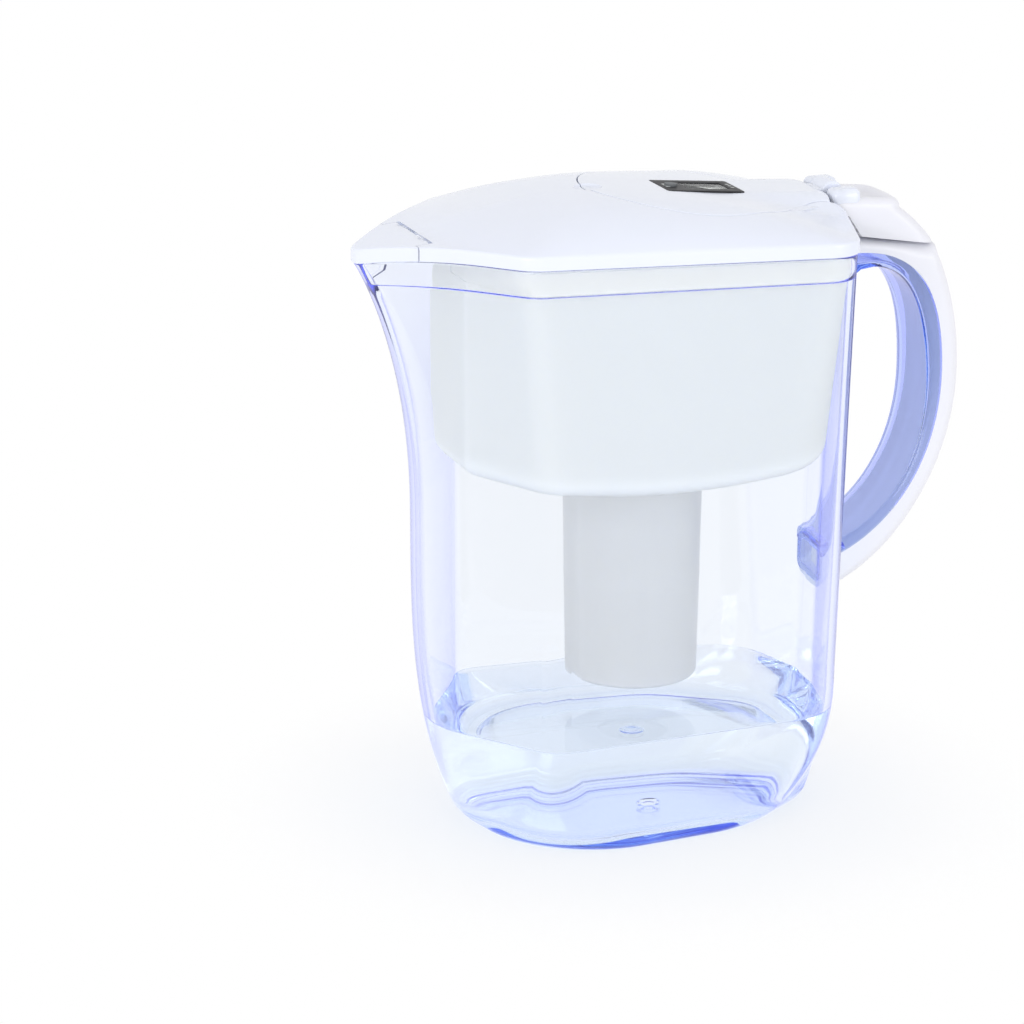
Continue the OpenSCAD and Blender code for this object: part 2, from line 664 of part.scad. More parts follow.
// Stations [x, h] of the crown's height above the band
crown_stations = [
    [rim_nose_x - lid_over, 0], [flap_hinge_x, 0.2], [-80, 5.8], [-60, 9.6], [-40, 12.4],
    [-16, crown_h - band_h], [26, 11.4], [60, 8.8], [rim_rear_x + lid_over, 6]
];
crown_shares = [1, 0.985, 0.96, 0.92, 0.86, 0.78, 0.66, 0.5, 0.3, 0.06];
under_shares = [0.06, 0.3, 0.5, 0.68, 0.84, 1];
ridge_start = 5;
ridge_full = 58;
ridge_h = 9.4;
ridge_power = 20;
ridge_flat = 12;
ridge_foot = 34;

// A smooth step from 0 to 1
function ease(t) = let (c = clamp01(t)) c * c * (3 - 2 * c);
function station(list, x, i = 0) = i >= len(list) - 2 || x < list[i + 1].x
    ? mix(list[i].y, list[i + 1].y, clamp01((x - list[i].x) / (list[i + 1].x - list[i].x)))
    : station(list, x, i + 1);
// Height of the crown above the rim's height, at x and y, a share u of the way out to the band
function crown(x, y, u) = let (
        dome = station(crown_stations, x) * (1 - pow(u, crown_power)),
        ridge = ridge_h * ease((x - ridge_start) / (ridge_full - ridge_start))
            * ease((ridge_foot - abs(y)) / (ridge_foot - ridge_flat)) * (1 - pow(u, ridge_power)))
    band_h + pow(pow(dome, 4) + pow(ridge, 4) + epsilon, 1 / 4);

lid_outline = outline(jug_circles(rim_h), -lid_over);
// A ring of the crown, a share u of the way out, raised by dz
function crown_ring(u, dz = 0) = [for (p = lid_outline)
    let (x = crown_x + (p.x - crown_x) * u, y = p.y * u)
    u < 0.1 ? [x, y, rim_z(crown_x) + crown(crown_x, 0, 0) + dz] : [x, y, rim_z(x) + crown(x, y, u) + dz]];
function band_ring(z) = [for (p = lid_outline) [p.x, p.y, rim_z(p.x) + z]];

// Distance from the crown's centre to its outline in the direction of d
crown_centre = [crown_x, 0];
function reach(d) = max([for (j = [0:1:len(lid_outline) - 1])
    let (p = lid_outline[j] - crown_centre, e = lid_outline[(j + 1) % len(lid_outline)] - crown_centre - p,
        w = cross(d, e), t = cross(p, e) / w, s = -cross(d, p) / w)
    s >= 0 && s <= 1 && t > 0 ? t : 0]);
// Height of the crown's surface at any place
function crown_at(x, y) = let (d = [x, y] - crown_centre, r = norm(d))
    rim_z(x) + crown(x, y, min(1, r / reach(d / r)));

// The underside of the crown inside the skirt, a share u of the way out to it
skirt_gap = 0.5;
skirt_in = hopper_wall + skirt_gap + lid_t;
skirt_out = hopper_wall + skirt_gap;
function under_ring(u) = [for (p = outline(mouth_circles, skirt_in))
    let (x = crown_x + (p.x - crown_x) * u, y = p.y * u)
    [x, y, (u < 0.1 ? rim_z(crown_x) + crown(crown_x, 0, 0) : crown_at(x, y)) - lid_t]];
// The underside between skirt and band, hollow over the spout only
hollow_start = -60;
hollow_full = -75;
rail_in = 4.2;
rail_ring = outline([for (c = jug_circles(rim_h)) [c.x, c.y, max(rail_in / 4, c.z - rail_in)]]);
skirt_ring = outline(mouth_circles, skirt_out);
function hollow_ring(t) = [for (j = [0:1:len(rail_ring) - 1]) let (p = mix(skirt_ring[j], rail_ring[j], t),
        s = ease((hollow_start - p.x) / (hollow_start - hollow_full)))
    [p.x, p.y, mix(rim_z(p.x) + 2 * lid_gap, crown_at(p.x, p.y) - lid_t, s)]];

// Height of the crown on the middle line behind its centre
function ridge_z(x) = let (u = (x - crown_x) / (rim_rear_x + lid_over - crown_x)) rim_z(x) + crown(x, 0, u);

// The crown and band as one shell
module lid_skin() {
    skin(concat(
        [for (u = under_shares) under_ring(u)],
        [mouth_ring(skirt_in, rim_h - skirt_h), mouth_ring(skirt_out, rim_h - skirt_h)],
        [hollow_ring(0), hollow_ring(0.5), hollow_ring(1)],
        [[for (p = rail_ring) [p.x, p.y, rim_z(p.x) + lid_gap]]],
        [band_ring(lid_gap), band_ring(band_h - 0.6)],
        [for (u = crown_shares) crown_ring(u)]));
}
// A layer of the crown from low to high below its surface
module crown_layer(high, low) {
    skin(concat(
        [for (u = reversed(tail_of(crown_shares))) crown_ring(u, -low)],
        [for (u = tail_of(crown_shares)) crown_ring(u, -high)]));
}

// Outline of the door, shrunk by inset
door_fillet = 30;
door_steps = 36;
door_rear_x = 79.2;
rear_inset = 0.45;
function door_outline(inset) = let (
        fy = door_neck_w + door_fillet,
        fx = door_x + sqrt(pow(door_r + door_fillet, 2) - fy * fy),
        a = atan2(fy, fx - door_x),
        half = concat(
            [for (k = [0:1:door_steps / 2]) let (w = mix(180, a, 2 * k / door_steps))
                [door_x + (door_r - inset) * cos(w), (door_r - inset) * sin(w)]],
            [for (k = [1:1:6]) let (w = mix(180 + a, 270, k / 6))
                [fx + (door_fillet + inset) * cos(w), fy + (door_fillet + inset) * sin(w)]],
            [[door_rear_x - max(-rear_inset, min(rear_inset, inset)), door_neck_w - inset]]))
    concat([for (p = half) [p.x, p.y]], [for (p = reversed(tail_of(half))) [p.x, -p.y]]);
module door_prism(inset) {
    translate([0, 0, rim_h - 20])
        linear_extrude(height = 60)
            polygon(door_outline(inset));
}

flap_hinge_z = rim_z(flap_hinge_x) + band_h + 0.2 - flap_knuckle_r - 0.15;
module flap_prism(inset) {
    far_x = rim_nose_x - 10;
    far_w = 45;
    w = flap_hinge_w - inset;
    x = flap_side_x - inset;
    translate([0, 0, rim_h - 30])
        linear_extrude(height = 60)
            polygon([
                [flap_hinge_x, w], [x, w], [x, far_w], [far_x, far_w],
                [far_x, -far_w], [x, -far_w], [x, -w], [flap_hinge_x, -w]
            ]);
}
module flap_axis(r, l) {
    translate([flap_hinge_x, 0, flap_hinge_z])
        rotate([90, 0, 0])
            cylinder(h = l, r = r, center = true);
}
module door_axis(r, l) {
    translate([door_hinge_x, 0, hinge_z])
        rotate([90, 0, 0])
            cylinder(h = l, r = r, center = true);
}

flap_knuckle_l = 19;
flap_lug_l = 6;
flap_pin_l = flap_knuckle_l + 2 * flap_lug_l;
flap_clear_r = flap_knuckle_r + 0.9;
lug_reach = 6;
lug_rise = 2.2;
tail_front_x = door_hinge_x + door_barrel_r + 0.5;
tail_root_x = door_hinge_x - 1.5;
tail_root_z = rim_h + 2.9;
tail_side = [for (p = outside_path) if (p.y > tail_seam(p.x) + epsilon) p];
dish_depth = 2.4;
module lid_tail() {
    end = tail_side[len(tail_side) - 1];
    top_z = hinge_z + 2.2;
    dish = bezier([tail_front_x + 1.5, top_z], [tail_front_x + 6, tail_top_z - dish_depth],
        [way(0.3684, handle_reach), tail_top_z - dish_depth], [outside_top_x, outside_top_z]);
    difference() {
        slab(concat(
            [[tail_root_x, tail_root_z], [tail_clear_x, tail_root_z], [tail_clear_x, tail_seam(tail_clear_x)],
                [end.x + 1, tail_seam(end.x + 1)]],
            reversed(tail_side), tail_of(reversed(tail_of(dish))),
            [[tail_front_x + 1.5, top_z], [tail_front_x, top_z - 1.5], [tail_front_x, hinge_z - door_barrel_r - 1],
                [tail_root_x, hinge_z - door_barrel_r - 1]]), 2 * tail_w);
        slab([
            [tail_clear_x + lid_t, tail_seam(tail_clear_x) - 1], [end.x - 2 * lid_t, tail_seam(end.x) - 1],
            [outside_top_x - lid_t, tail_top_z - dish_depth - 2 * lid_t],
            [tail_front_x + 2 * lid_t, tail_top_z - dish_depth - 2 * lid_t],
            [tail_clear_x + lid_t, tail_root_z]
        ], 2 * (tail_w - lid_t));
    }
}

lug_gap = 0.35;
module door_lugs() {
    floor_z = hinge_z - door_barrel_r - 1;
    difference() {
        union() {
            door_axis(door_barrel_r, 2 * tail_w);
            translate([door_hinge_x - door_barrel_r, -tail_w, tail_root_z])
                cube([tail_front_x + 1 - door_hinge_x + door_barrel_r, 2 * tail_w, hinge_z - tail_root_z]);
        }
        translate([door_hinge_x - 2 * door_barrel_r, -door_barrel_l / 2 - lug_gap, floor_z])
            cube([tail_front_x - door_hinge_x + 2 * door_barrel_r, door_barrel_l + 2 * lug_gap, 4 * door_barrel_r]);
    }
}

notch_r = 8;
module lid_shell() {
    front = door_x - door_r;
    color([0.95, 0.95, 0.98])
        difference() {
            union() {
                difference() {
                    lid_skin();
                    door_prism(0);
                    translate([door_rear_x - 1, -door_neck_w, hinge_z - door_barrel_r])
                        cube([tail_front_x - door_rear_x + 1, 2 * door_neck_w, 3 * door_barrel_r]);
                    flap_prism(0);
                    flap_axis(flap_clear_r, 2 * flap_hinge_w);
                    translate([front - notch_r / 4, 0, rim_z(front) + crown_h - 1.6])
                        cylinder(h = 4 * door_barrel_r, r = notch_r);
                }
                lid_tail();
                door_lugs();
                difference() {
                    flap_axis(flap_knuckle_r, flap_pin_l);
                    flap_axis(2 * flap_knuckle_r, flap_knuckle_l);
                }
                for (side = [-1, 1])
                    translate([flap_hinge_x, side * (flap_knuckle_l + flap_lug_l) / 2, flap_hinge_z])
                        rotate([90, 0, 0])
                            linear_extrude(height = flap_lug_l, center = true)
                                polygon([
                                    [0, -flap_knuckle_r], [lug_reach, -flap_knuckle_r], [lug_reach, lug_rise],
                                    [flap_clear_r - 0.1, lug_rise], [flap_clear_r - 0.1, 0], [0, 0]
                                ]);
            }
            door_axis(door_pin_r + pin_gap, 4 * tail_w);
            flap_axis(flap_pin_r + pin_gap, 3 * flap_hinge_w);
        }
}

// The seat under the edge of the door, welded below the lid
door_seat_t = 1.6;
door_seat_end_x = 73;
module door_seat() {
    color([0.93, 0.93, 0.96])
        difference() {
            intersection() {
                crown_layer(lid_t + seat_gap, lid_t + seat_gap + door_seat_t);
                door_prism(-door_ledge);
            }
            door_prism(door_ledge);
            translate([door_seat_end_x, -tail_top_z, 0])
                cube(2 * tail_top_z);
        }
}

module door_hinge_pin() {
    color([0.7, 0.7, 0.72])
        door_axis(door_pin_r, 2 * tail_w - 2);
}
module flap_hinge_pin() {
    color([0.7, 0.7, 0.72])
        flap_axis(flap_pin_r, flap_pin_l - 1);
}

module spout_flap() {
    lug_cut = flap_lug_l + 2 * flap_gap;
    color([0.95, 0.95, 0.98])
        difference() {
            union() {
                intersection() {
                    lid_skin();
                    flap_prism(flap_gap);
                }
                flap_axis(flap_knuckle_r, flap_knuckle_l - 2 * flap_gap);
            }
            for (side = [-1, 1])
                translate([flap_hinge_x, side * (flap_knuckle_l + flap_lug_l) / 2, flap_hinge_z])
                    rotate([90, 0, 0])
                        cylinder(h = lug_cut, r = flap_knuckle_r + flap_gap, center = true);
            flap_axis(flap_pin_r + pin_gap, 3 * flap_hinge_w);
        }
}

// ---------------------------------------------------------------- door and indicator

display_tilt = atan((ridge_z(display_x - display_l / 2) - ridge_z(display_x + display_l / 2)) / display_l);
// Places a child on the door's surface, in the middle of the display
module at_display(x = 0, y = 0, z = 0) {
    translate([display_x, 0, ridge_z(display_x)])
        rotate([0, display_tilt, 0])
            translate([x, y, z])
                children();
}
module block(l, w, h, r = 0) {
    if (r == 0)
        translate([-l / 2, -w / 2, 0])
            cube([l, w, h]);
    else
        linear_extrude(height = h)
            square([l, w], center = true);
}

bezel_proud = 0.5;
bezel_seat = 1.4;
bezel_ledge = 2;
house_wall = 1.5;
house_l = display_l + 8;
house_w = display_w + 6;
wall_foot = tray_h;
gasket_h = 0.8;
boss_x = house_l / 2 + 3.5;
boss_y = house_w / 2 - 4;
boss_r = 2.6;
screw_r = 1;
tray_l = 2 * boss_x + 2 * boss_r + 1;
// The door is thinner than the lid, so that it closes above its seat
door_thin = 0.5;

module fill_door() {
    color([0.95, 0.95, 0.98])
        difference() {
            union() {
                intersection() {
                    crown_layer(0, lid_t - door_thin);
                    door_prism(door_gap);
                }
                at_display(0, 0, -wall_foot)
                    difference() {
                        block(house_l, house_w, wall_foot - lid_t / 2);
                        translate([0, 0, -epsilon])
                            block(house_l - 2 * house_wall, house_w - 2 * house_wall, wall_foot);
                    }
                for (sx = [-1, 1])
                    for (sy = [-1, 1])
                        at_display(sx * boss_x, sy * boss_y, -wall_foot)
                            cylinder(h = wall_foot - lid_t / 2, r = boss_r);
                door_axis(door_barrel_r, door_barrel_l - lug_gap);
                translate([door_rear_x - 6, -door_barrel_l / 2 + lug_gap, hinge_z - 2.4])
                    cube([door_hinge_x - door_rear_x + 6, door_barrel_l - 2 * lug_gap, 4.4]);
            }
            at_display(0, 0, -bezel_seat)
                block(display_l, display_w, 2 * lid_t);
            at_display(0, 0, -2 * lid_t)
                block(display_l - 2 * bezel_ledge, display_w - 2 * bezel_ledge, 3 * lid_t);
            for (sx = [-1, 1])
                for (sy = [-1, 1])
                    at_display(sx * boss_x, sy * boss_y, -wall_foot - epsilon)
                        cylinder(h = wall_foot - 1.5 * lid_t, r = screw_r + pin_gap);
            door_axis(door_pin_r + pin_gap, 4 * tail_w);
        }
}

lcd_x = 3;
lcd_l = 21;
lcd_w = 14;
lcd_t = 1.3;
lcd_show = 1.5;
button_gap = 0.1;
window_edge = 1.2;
module display_bezel() {
    thick = bezel_proud + bezel_seat - pin_gap;
    color([0.06, 0.06, 0.07])
        at_display(0, 0, -bezel_seat + pin_gap)
            difference() {
                block(display_l - 2 * pin_gap, display_w - 2 * pin_gap, thick);
                translate([lcd_x, 0, -epsilon])
                    block(lcd_l - 2 * lcd_show, lcd_w - 2 * lcd_show, 2 * thick);
                translate([lcd_x, 0, thick - window_t])
                    block(lcd_l + pin_gap, lcd_w + 2 * pin_gap, 2 * thick);
                translate([button_x, 0, -epsilon])
                    cylinder(h = 2 * thick, r = button_r + button_gap);
            }
}
module display_window() {
    color([0.8, 0.85, 0.85, 0.5])
        at_display(lcd_x, 0, bezel_proud - window_t + pin_gap)
            block(lcd_l - pin_gap, lcd_w, window_t - pin_gap);
}
module lcd_panel() {
    color([0.62, 0.66, 0.62])
        at_display(lcd_x, 0, -bezel_seat - pin_gap - lcd_t)
            block(lcd_l, lcd_w, lcd_t);
}
board_t = 1;
board_z = -tray_h + 3.6;
module lcd_connector() {
    top = -bezel_seat - lcd_t - 2 * pin_gap;
    color([0.3, 0.3, 0.35])
        at_display(lcd_x, lcd_w / 2 - 1.5, board_z + pin_gap)
            block(lcd_l - 2, 2, top - board_z - pin_gap);
}
module circuit_board() {
    color([0.1, 0.4, 0.2])
        at_display(0, 0, board_z - board_t)
            block(house_l - 2 * house_wall - 2 * seat_gap, house_w - 2 * house_wall - 2 * seat_gap, board_t);
}
cell_x = 3;
clip_strip = 0.3;
module coin_cell() {
    color([0.75, 0.75, 0.77])
        at_display(cell_x, 0, board_z - board_t - pin_gap - cell_t)
            cylinder(h = cell_t, r = cell_r);
}
module battery_clip() {
    low = board_z - board_t - cell_t - 2 * pin_gap - clip_strip;
    color([0.8, 0.75, 0.6])
        at_display(cell_x, 0, low)
            difference() {
                block(2 * cell_r + 4 * clip_strip, 5, cell_t + clip_strip + pin_gap);
                translate([0, 0, clip_strip])
                    block(2 * cell_r + 2 * clip_strip, 6, 2 * cell_t);
            }
}
module tray_gasket() {
    color([0.3, 0.3, 0.32])
        at_display(0, 0, -wall_foot - gasket_h - pin_gap)
            difference() {
                block(house_l, house_w, gasket_h);
                translate([0, 0, -epsilon])
                    block(house_l - 2 * house_wall, house_w - 2 * house_wall, 2 * gasket_h);
            }
}
module indicator_tray() {
    color([0.93, 0.93, 0.95])
        at_display(0, 0, -wall_foot - gasket_h - 2 * pin_gap - tray_t)
            difference() {
                union() {
                    block(tray_l, house_w, tray_t);
                    for (sx = [-1, 1])
                        for (sy = [-1, 1])
                            translate([sx * boss_x, sy * boss_y, 0])
                                cylinder(h = tray_t + gasket_h + pin_gap, r = boss_r - 0.4);
                }
                for (sx = [-1, 1])
                    for (sy = [-1, 1])
                        translate([sx * boss_x, sy * boss_y, -epsilon])
                            cylinder(h = 4 * tray_t, r = screw_r + pin_gap);
            }
}
module tray_screws() {
    low = -wall_foot - gasket_h - 3 * pin_gap - tray_t;
    color([0.6, 0.6, 0.62])
        for (sx = [-1, 1])
            for (sy = [-1, 1])
                at_display(sx * boss_x, sy * boss_y, low) {
                    difference() {
                        translate([0, 0, -1.2])
                            cylinder(h = 1.2, r = screw_head_r);
                        translate([-screw_head_r, -0.3, -1.2 - epsilon])
                            cube([2 * screw_head_r, 0.6, 0.6]);
                    }
                    translate([0, 0, -epsilon])
                        cylinder(h = wall_foot * 0.6, r = screw_r);
                }
}

button_travel = 0.6;
membrane_t = 0.7;
module button_membrane() {
    color([0.8, 0.8, 0.8])
        at_display(button_x, 0, board_z + pin_gap)
            cylinder(h = membrane_t, r = button_r);
}
module reset_button() {
    stem_low = board_z + pin_gap + membrane_t + button_travel + 0.1;
    flange_top = -bezel_seat - pin_gap;
    color([0.12, 0.12, 0.13])
        at_display(button_x, 0, 0) {
            translate([0, 0, flange_top - epsilon])
                cylinder(h = bezel_proud + button_travel + 0.3 - flange_top, r = button_r);
            translate([0, 0, flange_top - 0.5])
                cylinder(h = 0.5, r = button_r + 0.4);
            translate([0, 0, stem_low])
                cylinder(h = flange_top - stem_low - 0.4, r = 1.2);
        }
}

// ---------------------------------------------------------------- drawing

jug_body();
handle_cover();
hopper();
sleeve_gasket();
cartridge_shell();
cartridge_cap();
cartridge_media();
media_top_screen();
media_bottom_screen();
vent_screen();
lid_shell();
door_seat();
door_hinge_pin();
flap_hinge_pin();
fill_door();
spout_flap();
indicator_tray();
tray_gasket();
tray_screws();
display_bezel();
display_window();
lcd_panel();
lcd_connector();
circuit_board();
battery_clip();
coin_cell();
button_membrane();
reset_button();
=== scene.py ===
"""Dresses a water filter pitcher: clear jug and handle, white cover and lid, frosted hopper and indicator."""

import math

import bmesh
import bpy
from mathutils import Matrix, Vector


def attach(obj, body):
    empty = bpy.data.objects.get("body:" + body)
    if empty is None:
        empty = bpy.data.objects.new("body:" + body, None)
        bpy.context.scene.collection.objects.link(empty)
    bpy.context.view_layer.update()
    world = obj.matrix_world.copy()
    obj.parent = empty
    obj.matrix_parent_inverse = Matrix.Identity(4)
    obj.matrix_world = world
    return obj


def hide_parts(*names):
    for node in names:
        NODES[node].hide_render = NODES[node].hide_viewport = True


bl_info = {
    "name": "Water filter pitcher with flip lid",
    "version": (1, 0, 0),
    "blender": (4, 5, 0),
    "location": "View3D > Sidebar > Pitcher",
    "description": "Builds the looks of a water filter pitcher over its packed frame",
    "category": "Add Mesh",
}

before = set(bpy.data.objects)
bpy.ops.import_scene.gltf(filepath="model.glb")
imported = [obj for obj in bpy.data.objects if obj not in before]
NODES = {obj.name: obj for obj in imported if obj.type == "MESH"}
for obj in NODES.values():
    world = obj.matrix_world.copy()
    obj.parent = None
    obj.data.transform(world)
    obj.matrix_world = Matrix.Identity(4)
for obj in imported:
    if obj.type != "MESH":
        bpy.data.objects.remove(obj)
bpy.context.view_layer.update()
MM = 0.001


# ---------------------------------------------------------------- sizes and colours


def length(name, text, value, low, high):
    return bpy.props.FloatProperty(
        name=name, description=text, default=value * MM, min=low * MM, max=high * MM, unit="LENGTH", precision=5
    )


def colour(name, text, value):
    return bpy.props.FloatVectorProperty(
        name=name, description=text, default=value, size=3, min=0, max=1, subtype="COLOR"
    )


class PitcherSizes(bpy.types.PropertyGroup):
    """Sizes of the finish that the frame leaves open"""

    rim_round: length("Rim rounding", "Radius of the jug's upper rim", 0.8, 0.3, 0.9)
    foot_recess: length("Foot recess", "How far the underside stands up inside its foot ring", 1.0, 0, 2)
    grip_round: length("Grip rounding", "Radius of the corners on the hand side of the handle", 4.5, 1, 6)
    cover_round: length("Cover rounding", "Radius of the outer corners of the handle cover", 6.5, 2, 8)
    cover_crown: length("Cover crown", "How far the back of the handle cover is crowned", 1.6, 0, 3)
    tail_round: length("Tail rounding", "Radius of the upper edges of the lid's tail", 3.6, 1, 5)
    dish_depth: length("Thumb dish", "Depth of the thumb dish in the lid's tail", 2.6, 0, 4)
    band_round: length("Band rounding", "Radius of the upper edge of the lid's band", 1.3, 0.5, 2)
    seam_round: length("Seam rounding", "Radius of the edges along the seams of door and flap", 0.5, 0.2, 1)
    water_level: length("Water level", "Height of the water in the jug", 45, 8, 120)
    cap_ribs: bpy.props.IntProperty(
        name="Cap ribs", description="Ribs between the slots of the cartridge's cap", default=28, min=8, max=40
    )


class PitcherColours(bpy.types.PropertyGroup):
    """Colours of the plastics, the water and the display"""

    tint: colour("Clear tint", "Colour that light takes on in the clear plastic", (0.18, 0.50, 0.96))
    # Painted cool light: the lid's white is tinted blue-lavender for light from above, while the lid's tail takes the
    # cover's white.
    white: colour("White", "Lid, door and flap", (0.74, 0.77, 0.87))
    cover: colour("Cover white", "Handle cover and lid tail", (0.76, 0.76, 0.81))
    frost: colour("Hopper", "Frosted hopper and sleeve", (0.93, 0.935, 0.99))
    cartridge: colour("Cartridge white", "Cartridge shell and cap", (0.86, 0.86, 0.84))
    water: colour("Water tint", "Colour that light takes on in the water", (0.25, 0.66, 0.98))
    bezel: colour("Bezel black", "Frame of the indicator", (0.012, 0.012, 0.015))
    display: colour("Display", "Grey-green of the display panel", (0.30, 0.34, 0.31))


# ---------------------------------------------------------------- outlines of the jug, in millimetres

RIM_H, RIM_TILT, LIP_DROP, LIP_START, NOSE_X = 243.6, 0.019, 5.3, -80.0, -119.4
BELLY_H, FLANK_H = 130.0, 60.0
BASE_EDGE, FLOOR_T, JUG_WALL, MOUTH_WALL, LEDGE_DROP = 6.0, 4.5, 3.0, 1.8, 10.5
HOPPER_WALL, HOPPER_GAP, SEAT_GAP = 2.0, 0.4, 0.3
LID_OVER, LID_GAP, LID_T, BAND_H, CROWN_H, SKIRT_H = 0.8, 0.3, 2.2, 5.8, 19.7, 7.0

# Circles x, y, r of half an outline, from the spout round to the rear
RIM = [(-114.4, 1, 5), (-59.4, 43.9, 14), (58.5, 53.8, 14.5), (57, 8, 30)]
BELLY = [(-64.3, 2, 30), (-49.8, 46, 14), (50, 28.5, 27), (52, 8, 30)]
BASE = [(-30, 2, 43.6), (-20.8, 6.2, 52.5), (10.2, 5.9, 49.6), (42, 8, 30)]
ARC_STEPS = (8, 14, 14, 12)
FLANK_STEPS = (8, 12, 3)
SPOUT_CURVE, FLANK_CURVE, FLARE_CURVE, LIFT_CURVE = 3.2, 2.4, 2.2, 8  # powers by which the outline opens upwards


def mix(a, b, t):
    if isinstance(a, tuple):
        return tuple(p + (q - p) * t for p, q in zip(a, b))
    return a + (b - a) * t


def clamp01(t):
    return max(0.0, min(1.0, t))


def ease(t):
    t = clamp01(t)
    return t * t * (3 - 2 * t)


def normal_angle(a, b):
    dx, dy = b[0] - a[0], b[1] - a[1]
    return math.degrees(math.atan2(dy, dx)) + 90 - math.degrees(math.asin((a[2] - b[2]) / math.hypot(dx, dy)))


def on_circle(c, inset, angle):
    a = math.radians(angle)
    return (c[0] + (c[2] - inset) * math.cos(a), c[1] + (c[2] - inset) * math.sin(a))


def outline(circles, inset=0.0):
    """The whole outline round a list of circles, clockwise from the spout when seen from above."""
    turns = [180] + [normal_angle(circles[i], circles[i + 1]) for i in range(3)] + [0]
    half = []
    for i, c in enumerate(circles):
        half += [on_circle(c, inset, mix(turns[i], turns[i + 1], k / ARC_STEPS[i])) for k in range(ARC_STEPS[i] + 1)]
        if i < 3:
            end, n = on_circle(circles[i + 1], inset, turns[i + 1]), FLANK_STEPS[i]
            half += [mix(half[-1], end, k / (n + 1)) for k in range(1, n + 1)] if n else []
    return half + [(x, -y) for x, y in reversed(half)]


def spread(z, h, power):
    return 1 - pow(1 - min(max(z, 0), h) / h, power)


def jug_circles(z):
    low = [spread(z, BELLY_H, SPOUT_CURVE)] + [spread(z, FLANK_H, FLANK_CURVE)] * 3
    flare = pow(clamp01((z - BELLY_H) / (RIM_H - BELLY_H)), FLARE_CURVE)
    opening = clamp01((z - FLANK_H) / (RIM_H - FLANK_H))
    high = [flare, flare, opening, opening]
    return [
        tuple(mix(BASE[i][k], BELLY[i][k], low[i]) + (RIM[i][k] - BELLY[i][k]) * high[i] for k in range(3))
        for i in range(4)
    ]


def rim_rise(x):
    return -RIM_TILT * x - LIP_DROP * max(0.0, (LIP_START - x) / (LIP_START - NOSE_X)) ** 2


def rim_z(x):
    return RIM_H + rim_rise(x)


def lift(x, z):
    return rim_rise(x) * pow(max(0.0, z) / RIM_H, LIFT_CURVE)


def jug_ring(z, inset):
    return [(x, y, z + lift(x, z)) for x, y in outline(jug_circles(z), inset)]


def level_ring(z, inset, above=0.0):
    """The jug's outline at z without the rise of the rim."""
    return [(x, y, z + above) for x, y in outline(jug_circles(z), inset)]


def round_ring(r, z, like):
    """A round ring about the cartridge axis whose points keep the directions of another ring's."""
    return [(r * p[0] / math.hypot(*p[:2]), r * p[1] / math.hypot(*p[:2]), z) for p in like]


def rear_x(z):
    c = jug_circles(z)[3]
    return c[0] + c[2]


def arc(n):
    return [math.pi / 2 * k / n for k in range(n + 1)]


def quarter(r, n):
    """Points of a rounded edge of radius r: how far in from its side, and how far up."""
    return [(r * (1 - math.cos(a)), r * math.sin(a)) for a in arc(n)]


# ---------------------------------------------------------------- mesh makers


SHARP, CUT_SHARP = 38, 30  # angles in degrees past which an edge is sharp, the second on carved pieces


def finish_mesh(obj, sharp):
    obj.data.shade_smooth()
    obj.data.set_sharp_from_angle(angle=math.radians(sharp))


def linked(name, mesh):
    obj = bpy.data.objects.new(name, mesh)
    bpy.context.scene.collection.objects.link(obj)
    return obj


def piece(name, verts, faces, finish=None, sharp=SHARP):
    """A mesh object at the origin from points in millimetres, with its faces turned outwards."""
    mesh = bpy.data.meshes.new(name)
    mesh.from_pydata([(x * MM, y * MM, z * MM) for x, y, z in verts], [], faces)
    work = bmesh.new()
    work.from_mesh(mesh)
    bmesh.ops.remove_doubles(work, verts=work.verts, dist=1e-7)
    bmesh.ops.recalc_face_normals(work, faces=work.faces)
    if work.calc_volume(signed=True) < 0:
        bmesh.ops.reverse_faces(work, faces=work.faces)
    work.to_mesh(mesh)
    work.free()
    obj = linked(name, mesh)
    if sharp:
        finish_mesh(obj, sharp)
    if finish:
        mesh.materials.append(finish)
    return obj


def skin(name, rings, finish=None, closed=False, sharp=SHARP):
    """A solid skinned over rings of equally many points, capped at both ends or closed on itself."""
    n, m = len(rings[0]), len(rings)
    faces = []
    for i in range(m if closed else m - 1):
        up = ((i + 1) % m) * n
        faces += [(i * n + j, up + j, up + (j + 1) % n, i * n + (j + 1) % n) for j in range(n)]
    if not closed:
        faces += [tuple(range(n)), tuple((m - 1) * n + j for j in reversed(range(n)))]
    return piece(name, [p for ring in rings for p in ring], faces, finish, sharp)


def placed(points, place):
    """Points in millimetres, moved by a matrix if there is one."""
    return [tuple(place @ Vector(p)) for p in points] if place else list(points)


def turned(name, profile, finish=None, steps=64, place=None):
    """A solid turned about Z from a profile of radii and heights, then placed by a matrix in millimetres."""
    rings = []
    for r, z in profile:
        ring = [(max(r, 0.02) * math.cos(a), max(r, 0.02) * math.sin(a), z) for a in turn(steps)]
        rings.append(placed(ring, place))
    return skin(name, rings, finish)


def turn(steps):
    return [-2 * math.pi * k / steps for k in range(steps)]


def pill(r, half, edge, n=5):
    """Profile of a cylinder of radius r and half length half, with rounded rims."""
    low = [(r - edge + edge * math.sin(a), -half + edge - edge * math.cos(a)) for a in arc(n)]
    return [(0, -half)] + low + [(x, -z) for x, z in reversed(low)] + [(0, half)]


def brick(name, length_x, width_y, low, high, edge, finish, place=None, corner=0.0):
    """A block with rounded corners and edges, centred in x and y, then placed by a matrix in millimetres."""
    corner = max(corner, edge)
    rings = []
    levels = [(edge - up, low + side) for side, up in quarter(edge, 4)]
    levels += [(inset, high + low - z) for inset, z in reversed(levels)]
    for inset, z in levels:
        ring = rounded(length_x / 2 - inset, width_y / 2 - inset, max(corner - inset, 0.02))
        rings.append(placed([(x, y, z) for x, y in ring], place))
    return skin(name, rings, finish)


